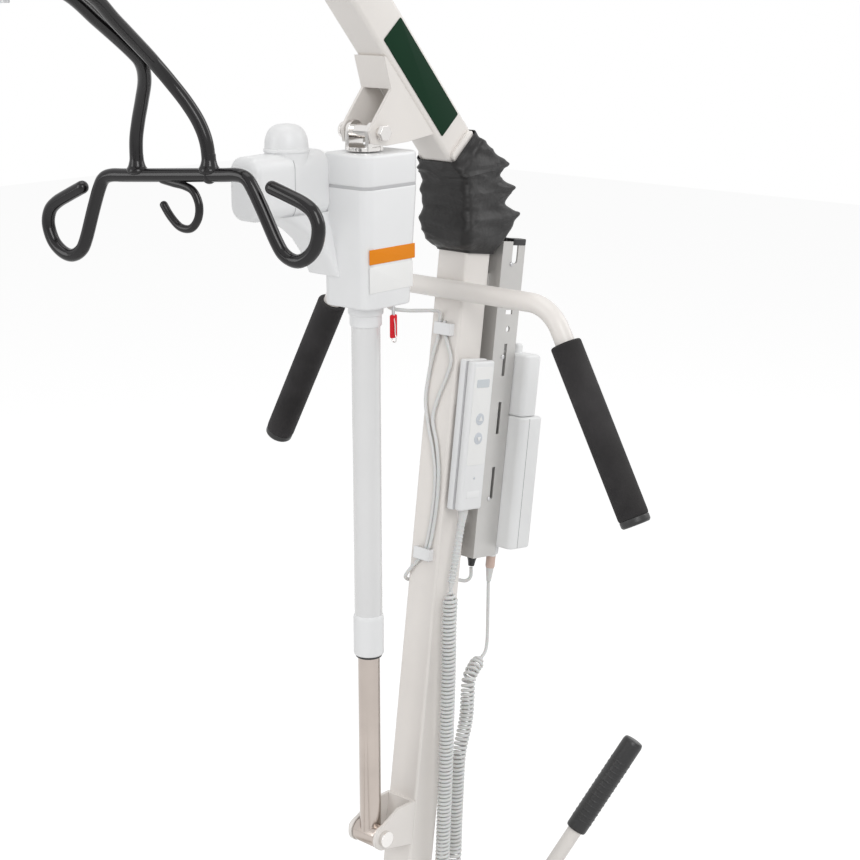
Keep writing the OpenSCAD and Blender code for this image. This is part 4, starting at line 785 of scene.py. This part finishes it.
podSeam = moved(prism(82.3, 55.3, 95.6, 96.4, 18, 0.1, 8, taper=lambda t: (0.985, 0.985)), podPlace)
fromMesh("pod_seam", *podSeam, liftFrame, softLine, "actuator", (), "cover_plastic")

leftFace = Matrix.Translation((0, 40, 0)) @ Matrix.Rotation(-math.pi / 2, 4, "X")
stripe = moved(prism(82, 18.5, -0.15, 0.35, 1.2, 0.1, 4, offset=(-7, -1216.5)), leftFace)
fromMesh("housing_patch", *stripe, liftFrame, orange, "actuator", (), "cover_plastic")
whitePlate = moved(prism(78, 33, -0.15, 0.3, 1.2, 0.1, 4, offset=(-5, -1188)), leftFace)
fromMesh("housing_plate", *whitePlate, liftFrame, plateWhite, "actuator", (), "cover_plastic")
mats(["drive_train"], zinc)
print("actuator made")

# Fork above the housing
mats(["top_fork"], chrome)
forkNut = [moved(lathe(softened([(0, 23.0), (10.5, 23.0), (10.5, 24.4), (7.2, 24.6), (7.2, 24.8), (0, 24.8)], 0.3), 48, "Y"), Matrix.Translation((0, 0, 1365)))]
fromMesh("top_pin_washer", *forkNut[0], liftFrame, zinc, "top_fork", (), "bright_steel")
mats(["boom_bracket"], paint)

# Release pull: red tab, wire loop and stem
tab = moved(prism(11, 30, -1.6, 1.6, 2.2, 0.7, 5), Matrix.Translation((-20, 29, 1122)) @ Matrix.Rotation(math.pi / 2, 4, "X"))
ribs = [moved(prism(7.5, 1.2, -2.0, 2.0, 0.5, 0.2, 3), Matrix.Translation((-20, 29, 1112 + 4 * i)) @ Matrix.Rotation(math.pi / 2, 4, "X")) for i in range(5)]
fromMesh("release_tab", *join([tab] + ribs), liftFrame, redPlastic, "release_pull", ["release_pull"], "red_plastic")
wireRoute = [(-20, 28.5, 1140), (-20, 29.5, 1134), (-20, 31.6, 1124), (-20, 31.8, 1114), (-20, 33.6, 1107), (-20, 33.2, 1103), (-20, 30, 1101.6), (-20, 27.2, 1103), (-20, 26.4, 1108), (-20, 27.4, 1114), (-20, 27.2, 1126), (-20, 28.6, 1136)]
fromMesh("release_wire", *pipe(spline(wireRoute, 6), 0.8, 10), liftFrame, chrome, "release_pull", (), "bright_steel")
stem = moved(lathe(softened([(0, 1136), (2.0, 1136), (2.0, 1158), (0, 1158)], 0.4), 24), Matrix.Translation((-20, 29, 0)))
fromMesh("release_stem", *stem, liftFrame, zinc, "release_pull", (), "bright_steel")

# ---- Handle ----

handleTangent = 56 * math.tan(handleTurn / 2)
halfBar = [(barX, 181 - handleTangent + 56 * math.sin(a), 1150 - 56 + 56 * math.cos(a)) for a in np.linspace(0, handleTurn, 21)]
reach = 51 + 239
halfBar.append((barX, 181 + reach * math.cos(handleTurn), 1150 - reach * math.sin(handleTurn)))
barLine = [(x, -y, z) for x, y, z in reversed(halfBar)] + halfBar
fromMesh("handle_tube", *pipe(barLine, 12.7, 36, False), liftFrame, paint, "base", ["handlebar"], "frame_paint")
foamProfile = softened([(12.75, 51), (18.5, 51), (20, 53), (20, 281), (19.4, 284), (12.75, 284)], 2.0)
capProfile = softened([(12.75, 284), (19.3, 284), (19.5, 285.5), (19.5, 291), (17.5, 293.6), (9, 294), (8.4, 292.6), (0, 292.4)], 1.2)
for side, name in ((1, "left"), (-1, "right")):
    foam = fromMesh(name + "_foam", *lathe(foamProfile, 96), handleFrame(side), foamBlack, "base", ["foam_grips"] if side > 0 else (), "foam")
    fromMesh(name + "_grip_cap", *lathe(capProfile, 72), handleFrame(side), blackPlastic, "base", ["grip_end_caps"] if side > 0 else (), "black_plastic")
print("handle made")

# ---- Control units ----

boxBody = prism(46, 120, boxTop - 185, boxTop, 9, 3.5, 8, offset=(-boxFront - 23, 0))
fromMesh("control_box_skin", *boxBody, mastFrame, boxWhite, "base", ["control_box"], "box_plastic")
boxSeam = prism(0.8, 120.5, boxTop - 183, boxTop - 2, 0.3, 0.1, 4, offset=(-boxFront - 15, 0))
sockets = [moved(lathe(softened([(7.6, -2.5), (10.5, -2.5), (11.5, -1.5), (11.5, 0.8), (7.6, 0.8)], 0.5), 48), Matrix.Translation((-boxFront - 17, y, boxTop - 185))) for y in (14, -20)]
fromMesh("box_seam", *join([boxSeam] + sockets), mastFrame, darkLine, "base", (), "box_plastic")
backPlace = Matrix.Translation((-boxFront - 46, 0, 0)) @ Matrix.Rotation(-math.pi / 2, 4, "Y")
window = moved(prism(16, 34, -0.3, 0.7, 2.5, 0.3, 5, offset=(boxTop - 112, 0)), backPlace)
fromMesh("box_window", *window, mastFrame, screenGrey, "base", (), "box_plastic")
backPlate = moved(prism(34, 78, -0.3, 0.3, 2.5, 0.1, 5, offset=(boxTop - 152, 0)), backPlace)
fromMesh("box_plate", *backPlate, mastFrame, plateWhite, "base", (), "box_plastic")
batteryParts = [
    prism(34, 112, 1070 - 85, 1070, 8, 3.5, 8, offset=(-boxFront - 18, 0)),
    prism(14, 60, 1064, 1082, 5, 3.0, 6, offset=(-boxFront - 18, 0)),
]
fromMesh("battery_skin", *join(batteryParts), mastFrame, boxWhite, "battery", ["battery"], "box_plastic")
batterySide = Matrix.Translation((-boxFront - 35, 0, 0)) @ Matrix.Rotation(-math.pi / 2, 4, "Y")
batteryRibs = [moved(prism(1.6, 84, -0.3, 1.0, 0.6, 0.4, 3, offset=(1070 - 30 - 7 * i, 0)), batterySide) for i in range(6)]
fromMesh("battery_ribs", *join(batteryRibs), mastFrame, boxWhite, "battery", (), "box_plastic")

stopPlace = mastFrame @ Matrix.Translation((-boxFront - 46 + 14, 0, boxTop - 60)) @ Matrix.Rotation(-math.pi / 2, 4, "Y")
stopProfile = softened([(0, 0), (11, 0), (11, 18.5), (13.4, 19), (14.2, 21), (13.4, 25), (10, 26.4), (0, 27)], 1.2)
fromMesh("stop_button_skin", *lathe(stopProfile, 64), stopPlace, redPlastic, "stop_button", ["stop_button"], "red_plastic")
collar = lathe(softened([(11.6, 13.0), (17, 13.0), (17, 15.2), (15.6, 16.4), (11.6, 16.4)], 0.6), 64)
fromMesh("stop_collar", *collar, stopPlace, blackPlastic, "base", (), "black_plastic")

# Handset: two shells, display, framed buttons, hook, strain relief
shellBack = prism(46, 13, 0, 202, 5.5, 2.5, 8, offset=(0, 6.5))
hook = prism(24, 7, 140, 172, 2, 1, 4, offset=(0, -2.5))
fromMesh("handset_back_skin", *join([shellBack, hook]), handsetFrame, coverWhite, "base", ["handset_back"], "cover_plastic")
shellFront = prism(45.6, 12.6, 0.6, 201.4, 5.5, 3.2, 8, offset=(0, 19.6))
fromMesh("handset_front_skin", *shellFront, handsetFrame, coverWhite, "base", ["handset_front"], "cover_plastic")
fromMesh("handset_seam", *prism(44.6, 2.0, 1.2, 200.8, 1.0, 0.2, 4, offset=(0, 13.1)), handsetFrame, softLine, "base", (), "cover_plastic")
facePlace = Matrix.Translation((0, 25.9, 0)) @ Matrix.Rotation(-math.pi / 2, 4, "X")
face = moved(prism(37, 132, -0.2, 0.35, 4, 0.25, 6, offset=(0, -128)), facePlace)
fromMesh("handset_face", *face, handsetFrame, plateWhite, "base", (), "cover_plastic")
display = moved(prism(25, 11, -0.1, 0.9, 1.6, 0.3, 5, offset=(0, -172)), facePlace)
fromMesh("handset_display", *display, handsetFrame, screenGrey, "base", (), "button_plastic")
bottomPlate = moved(prism(26, 9, -0.2, 0.3, 1.2, 0.1, 5, offset=(0, -22)), facePlace)
fromMesh("handset_plate", *bottomPlate, handsetFrame, boxWhite, "base", (), "cover_plastic")
lamp = moved(lathe(softened([(0, 0.2), (1.6, 0.2), (1.6, 0.8), (0, 1.2)], 0.3), 24), facePlace @ Matrix.Translation((0, -44, 0)))
fromMesh("handset_lamp", *lamp, handsetFrame, buttonGrey, "base", (), "button_plastic")
for name, z, turn in (("up_button", 124, 0), ("down_button", 98, 180)):
    cap = lathe(softened([(0, -1.5), (8, -1.5), (8, 0.9), (6.8, 1.5), (0, 1.9)], 0.5), 48)
    fromMesh(name + "_skin", *moved(cap, facePlace @ Matrix.Translation((0, -z, 0))), handsetFrame, buttonGrey, name, [name], "button_plastic")
    arrow = [(4.2 * math.cos(a), 4.2 * math.sin(a)) for a in (math.radians(270 + turn + 120 * i) for i in range(3))]
    rings3 = [[(x * s, y * s, h) for x, y in arrow] for h, s in ((1.86, 1), (2.25, 1), (2.35, 0.85))]
    fromMesh(name + "_arrow", *moved(loft(rings3), facePlace @ Matrix.Translation((0, -z, 0))), handsetFrame, plateWhite, name, (), "button_plastic")
reliefPlace = handsetFrame @ Matrix.Translation((0, 13, 2)) @ Matrix.Rotation(math.pi - math.radians(5.8), 4, "Y")
reliefProfile = softened([(0, -1), (6.6, -1), (6.6, 8), (5.2, 20), (4.4, 60), (3.7, 98), (3.2, 111), (0, 111)], 1.0)
fromMesh("strain_relief_skin", *lathe(reliefProfile, 40), reliefPlace, cordGrey, "base", ["strain_relief"], "cord_grey")
ribShape = metres(lathe(softened([(3.2, -1.3), (5.3, -1.3), (5.6, 0), (5.3, 1.3), (3.2, 1.3)], 0.5), 32))
repeatAt("strain_relief_ribs", [rigid(reliefPlace @ Matrix.Translation((0, 0, 14 + 5.2 * i))) for i in range(18)], ribShape, cordGrey, "base")

# Plugs under the control box
plugParts = softened([(0, 8), (7.5, 8), (7.5, 0), (9, -0.4), (9, -15), (7.4, -16.4), (6.9, -17), (6.9, -19), (0, -19)], 0.8)
fromMesh("plug_nut", *lathe(plugParts, 48), socketFrame(14), coverWhite, "base", ["handset_plug"], "cover_plastic")
fromMesh("plug_body", *lathe(softened([(0, -17), (6.5, -17), (6.5, -34), (5.6, -36.5), (0, -36.5)], 0.8), 48), socketFrame(14), beigePlastic, "base", (), "cord_grey")
fromMesh("plug_tip", *lathe(softened([(0, -35), (5.6, -35.5), (4.6, -44), (3.2, -56), (0, -57)], 0.8), 40), socketFrame(14), cordGrey, "base", (), "cord_grey")
nutRib = metres(prism(1.1, 1.2, -14.6, -1.0, 0.4, 0.3, 2))
nutPlaces = [rigid(socketFrame(14) @ Matrix.Rotation(2 * math.pi * i / 18, 4, "Z") @ Matrix.Translation((9.0, 0, 0))) for i in range(18)]
repeatAt("plug_nut_ribs", nutPlaces, nutRib, coverWhite, "base")
blackPlug = softened([(0, 10), (7.5, 10), (7.5, -6), (8.6, -7), (8.6, -24), (7, -29), (5.4, -34), (4.2, -41.5), (0, -42)], 1.0)
fromMesh("actuator_plug_skin", *lathe(blackPlug, 48), socketFrame(-20), blackPlastic, "base", ["actuator_plug"], "black_plastic")

# Hook clip on top of the channel
clip = [prism(26, 16, 1217, 1226, 3, 1.5, 5, offset=(-72, 28)), prism(26, 16, 1217, 1226, 3, 1.5, 5, offset=(-72, -28)), prism(8, 60, 1219, 1225, 2, 1.0, 4, offset=(-78, 0))]
fromMesh("channel_clip", *join(clip), mastFrame, blackPlastic, "base", (), "black_plastic")
print("controls made")

# ---- Cradle ----


half = lift["spineHalf"]


def spineLine(side, d):
    run = [(10, 19, 0), (34, 18, -4), (half - 154, 16, -22), (half - 104, 12, -54), (half - 54, 9, -88), (half - 36, 10, -103), (half - 22, 18, -122),
        (half - 11, 32, -146), (half - 4, 44, -170), (half - 1, 51, -195), (half, 52, -230)]
    return [(d * x, side * y, z) for x, y, z in run]


spines = [pipe(spline(spineLine(s, -1)[::-1] + spineLine(s, 1), 10), 8, 28) for s in (-1, 1)]
flares = []
for d in (-1, 1):
    for s in (-1, 1):
        flares.append(moved(lathe(softened([(8.0, 24), (8.4, 17), (10.2, 10.5), (12.6, 7.5), (12.8, 3.0), (7.8, 1.0)], 2.0), 40), Matrix.Translation((d * half, s * 52, -230 + s * 52 * math.tan(math.radians(3.5))))))
fromMesh("cradle_spine_skin", *join(spines + flares), cradleFrame, cradleBlack, "cradle", ["cradle_spine"], "cradle_paint", smooth=60)
straight = 103
hookHalf = [(0, 0), (30, 0), (70, 0), (straight - 12, 0), (straight, -4), (straight + 8, -15), (straight + 20, -40), (straight + 36, -76), (straight + 46, -90),
    (straight + 61, -96), (straight + 76, -91), (straight + 88, -78), (straight + 93, -58), (straight + 88, -42), (straight + 76, -32), (straight + 56, -23), (straight + 34, -14)]
centreHook = [(-16, -5), (0, -9), (16, -12.5), (28, -19), (34, -34), (31, -50), (20, -61), (5, -60), (-8, -48), (-17, -34)]
hookBar = [(-a, b) for a, b in reversed(hookHalf[1:])] + hookHalf
bars = []
for d in (-1, 1):
    place = Matrix.Translation((d * half, 0, -230)) @ Matrix.Rotation(math.radians(3.5), 4, "X")
    bars.append(moved(pipe(spline([(0, a, b) for a, b in hookBar], 8), 8, 28), place))
    bars.append(moved(pipe(spline([(0, a, b) for a, b in centreHook], 8), 4.8, 20), place))
fromMesh("cradle_bars_skin", *join(bars), cradleFrame, cradleBlack, "cradle", ["cradle_bars"], "cradle_paint", smooth=60)
hub = [lathe(softened([(8.2, -17), (14.4, -17), (16, -15.4), (16, 15.4), (14.4, 17), (8.2, 17)], 0.8), 64)]
hub.append(prism(52, 38, -4, 4, 4, 1.2, 5))
for s in (-1, 1):
    hub.append(moved(lathe([(2.2 * math.cos(a) + 9.0, 2.6 * math.sin(a)) for a in np.linspace(0, 2 * math.pi, 9)[:-1]] + [(11.2, 0)], 32, "X"), Matrix.Translation((-26, s * 19, 0))))
    hub.append(moved(lathe([(2.2 * math.cos(a) + 9.0, 2.6 * math.sin(a)) for a in np.linspace(0, 2 * math.pi, 9)[:-1]] + [(11.2, 0)], 32, "X"), Matrix.Translation((26, s * 19, 0))))
fromMesh("cradle_hub_skin", *join(hub), cradleFrame, cradleBlack, "cradle", ["cradle_hub"], "cradle_paint")
mats(["hanger"], zinc)
print("cradle made")

# ---- Leg spreading and casters ----

camFrame = liftFrame @ Matrix.Translation((-150, 0, 0)) @ Matrix.Rotation(-math.radians(32.4), 4, "Z")
leverAngle = math.atan2(455 - 112, 285 - 52)
leverLength = math.hypot(455 - 112, 285 - 52)
leverPlace = camFrame @ Matrix.Translation((-52, 0, 118)) @ Matrix.Rotation(leverAngle - math.pi / 2, 4, "Y")
mats(["spread_lever"], paint)
gripProfile = softened([(11.05, leverLength - 150), (14.6, leverLength - 150), (15.5, leverLength - 147), (15.5, leverLength + 2), (14, leverLength + 7), (9, leverLength + 8), (0, leverLength + 8)], 1.6)
fromMesh("lever_grip_skin", *lathe(gripProfile, 64), leverPlace, blackPlastic, "spread_lever", ["lever_grip"], "black_plastic")
gripRib = metres(lathe(softened([(14.8, -1.6), (15.9, -1.2), (16.1, 0), (15.9, 1.2), (14.8, 1.6)], 0.4), 48))
repeatAt("lever_grip_ribs", [rigid(leverPlace @ Matrix.Translation((0, 0, leverLength - 132 + 8.5 * i))) for i in range(13)], gripRib, blackPlastic, "spread_lever")

casters = {
    "rear_left": (-350, 265, 50, 28, 110.5), "rear_right": (-350, -265, 50, 28, 110.5),
    "front_left": (lift["frontStem"], 265, 37.5, 20, 95.5), "front_right": (lift["frontStem"], -265, 37.5, 20, 95.5),
}
for name, (x, y, r, trail, top) in casters.items():
    wheelPlace = liftFrame @ Matrix.Translation((x - trail, y, r))
    tyre = softened([(r - 11, -11.5), (r - 9.6, -12.4), (r - 4, -13), (r - 1.6, -10.5), (r - 0.5, -6), (r, 0), (r - 0.5, 6), (r - 1.6, 10.5), (r - 4, 13), (r - 9.6, 12.4), (r - 11, 11.5)], 1.5, 5)
    fromMesh(name + "_tyre", *lathe(tyre, 96, "Y"), wheelPlace, rubberTyre, name + "_wheel", [name + "_wheel"], "tyre_grey")
    rim = softened([(5.2, -13.6), (13, -13.6), (14.4, -12), (15.4, -5.5), (r - 14, -4.6), (r - 12.4, -10), (r - 10.6, -11), (r - 10.6, 11), (r - 12.4, 10), (r - 14, 4.6), (15.4, 5.5), (14.4, 12), (13, 13.6), (5.2, 13.6)], 1.0)
    fromMesh(name + "_rim", *lathe(rim, 96, "Y"), wheelPlace, rimGrey, name + "_wheel", (), "tyre_grey")
    spokes = []
    for i in range(6):
        spoke = prism(3.0, 22, 13.0, r - 11, 0.8, 0.3, 3)
        spokes.append(moved(spoke, Matrix.Rotation(math.pi / 3 * i, 4, "Y")))
    fromMesh(name + "_spokes", *join(spokes), wheelPlace, rimGrey, name + "_wheel", (), "tyre_grey")
    mats([name + "_fork"], zinc)
    race = lathe(softened([(7, top - 3.4), (19.5, top - 3.4), (21, top - 2.4), (21, top - 1.0), (7, top - 0.9)], 0.5), 64)
    fromMesh(name + "_race", *race, liftFrame @ Matrix.Translation((x, y, 0)), zinc, name + "_caster", (), "caster_steel")
for side, y in (("left", 265), ("right", -265)):
    place = liftFrame @ Matrix.Translation((-350 - 62, y, 96.5))
    tread = [prism(15, 39.2, -1, 3.4, 2.5, 1.0, 5, offset=(-16, 0)), prism(10, 30.6, -2, 3, 1.5, 0.6, 4, offset=(-4, 0))]
    tread += [prism(1.6, 33, 3.0, 4.4, 0.5, 0.4, 3, offset=(-20.5 + 3.2 * i, 0)) for i in range(4)]
    pin = lathe(softened([(0, -20.4), (3, -20.4), (3, 20.4), (0, 20.4)], 0.3), 24, "Y")
    fromMesh(side + "_pedal_skin", *join([*tread, lathe(softened([(0, -15.4), (4, -15.4), (4, 15.4), (0, 15.4)], 0.4), 24, "Y"), pin]), place, blackPlastic, side + "_brake_pedal", [side + "_brake_pedal"], "black_plastic")

# Plugs in the open ends of the base tubes
plugs = []
for s in (-1, 1):
    plugs.append(moved(prism(33, 43, 0, 1.8, 3, 0.6, 4), Matrix.Translation((-254 - 1.2, s * 265, 85)) @ Matrix.Rotation(math.pi / 2, 4, "Y")))
for s, name in ((1, "left_leg"), (-1, "right_leg")):
    fromMesh(name + "_plug", *plugs[0 if s < 0 else 1], liftFrame, blackPlastic, name, (), "black_plastic")

# Hexagon screw heads, by body
hexHead = metres(moved(lathe([(0, 0), (5.2, 0), (5.2, 2.6), (4.4, 3.3), (0, 3.3)], 6), Matrix.Identity(4)))
roundHead = metres(lathe(softened([(0, 0), (3.1, 0), (3.1, 1.0), (2.2, 1.7), (0, 1.9)], 0.3), 20))


def faceOn(place, direction, x, y, z):
    """A place on a face of a local frame, with Z along the face's normal."""
    turn = Vector(direction).to_track_quat("Z", "Y").to_matrix().to_4x4()
    return rigid(place @ Matrix.Translation((x, y, z)) @ turn)


housingScrews = [faceOn(liftFrame, (0, -1, 0), x, -40.0, z) for x in (-48, 27) for z in (1312, 1328)]
repeatAt("housing_screws", housingScrews, roundHead, zinc, "actuator")
boxScrews = [faceOn(mastFrame, (-1, 0, 0), -boxFront - 45.8, y, z) for y in (-50, 50) for z in (boxTop - 175, boxTop - 12)]
boxScrews += [faceOn(mastFrame, (0, s, 0), -58, s * 35, z) for s in (-1, 1) for z in (1192, 1066, 870)]
repeatAt("box_screws", boxScrews, roundHead, zinc, "base")
bracketBolts = [faceOn(mastFrame, (-1, 0, 0), -37.5, 0, z) for z in (849, 1162)]
repeatAt("bracket_bolts", bracketBolts, hexHead, goldSteel, "base")
print("screws made")

# ---- Floor and light ----

floorMesh = bpy.data.meshes.new("floor")
floorMesh.from_pydata([(-9, -9, 0), (9, -9, 0), (9, 9, 0), (-9, 9, 0)], [], [(0, 1, 2, 3)])
floor = bpy.data.objects.new("floor", floorMesh)
scene.collection.objects.link(floor)
floorPaint = bpy.data.materials.new("floorPaint")
floorPaint.use_nodes = True
tree = floorPaint.node_tree
matt = tree.nodes["Principled BSDF"]
matt.inputs["Base Color"].default_value = (0.80, 0.80, 0.80, 1)
matt.inputs["Roughness"].default_value = 0.9
matt.inputs["Specular IOR Level"].default_value = 0.1
# Seen directly or in a mirror the floor is near white and keeps the shadow
shade = node(tree, "ShaderNodeBsdfDiffuse", Color=(0.42, 0.42, 0.42, 1))
glow = node(tree, "ShaderNodeEmission", Color=(1, 1, 1, 1), Strength=0.74)
pale = tree.nodes.new("ShaderNodeAddShader")
tree.links.new(shade.outputs[0], pale.inputs[0])
tree.links.new(glow.outputs[0], pale.inputs[1])


def seenRays(tree):
    """1 for camera, glossy and transmission rays."""
    rays = tree.nodes.new("ShaderNodeLightPath")
    first = mathNode(tree, "MAXIMUM", rays.outputs["Is Camera Ray"], rays.outputs["Is Glossy Ray"])
    return mathNode(tree, "MAXIMUM", first, rays.outputs["Is Transmission Ray"])


choose = tree.nodes.new("ShaderNodeMixShader")
tree.links.new(seenRays(tree), choose.inputs["Fac"])
tree.links.new(matt.outputs[0], choose.inputs[1])
tree.links.new(pale.outputs[0], choose.inputs[2])
tree.links.new(choose.outputs[0], tree.nodes["Material Output"].inputs["Surface"])
floorMesh.materials.append(floorPaint)
world = bpy.data.worlds.new("studio")
scene.world = world
world.use_nodes = True
tree = world.node_tree
background = tree.nodes["Background"]
background.inputs["Strength"].default_value = 0.52
background.inputs["Color"].default_value = (1, 1, 1, 1)
white = node(tree, "ShaderNodeBackground", Color=(1, 1, 1, 1), Strength=1.0)
choose = tree.nodes.new("ShaderNodeMixShader")
tree.links.new(seenRays(tree), choose.inputs["Fac"])
tree.links.new(background.outputs[0], choose.inputs[1])
tree.links.new(white.outputs[0], choose.inputs[2])
tree.links.new(choose.outputs[0], tree.nodes["World Output"].inputs["Surface"])


def areaLight(name, place, aim, size, power, colour=(1, 1, 1)):
    light = bpy.data.lights.new(name, "AREA")
    light.shape = "RECTANGLE"
    light.size, light.size_y = size
    light.energy = power
    light.color = colour
    made = bpy.data.objects.new(name, light)
    scene.collection.objects.link(made)
    made.location = place
    made.rotation_mode = "QUATERNION"
    made.rotation_quaternion = (Vector(aim) - Vector(place)).to_track_quat("-Z", "Y")
    return made


areaLight("keyLight", (1.6, 3.2, 3.0), (-0.2, 0, 1.1), (1.6, 2.2), 54)
areaLight("fillLight", (3.4, -1.4, 2.2), (-0.2, 0, 1.1), (1.6, 2.4), 32)
areaLight("backLight", (-2.8, 1.6, 2.8), (-0.2, 0, 1.2), (1.4, 2.0), 25)
areaLight("topLight", (0.0, 0.0, 4.2), (-0.1, 0, 0), (2.4, 2.4), 26)
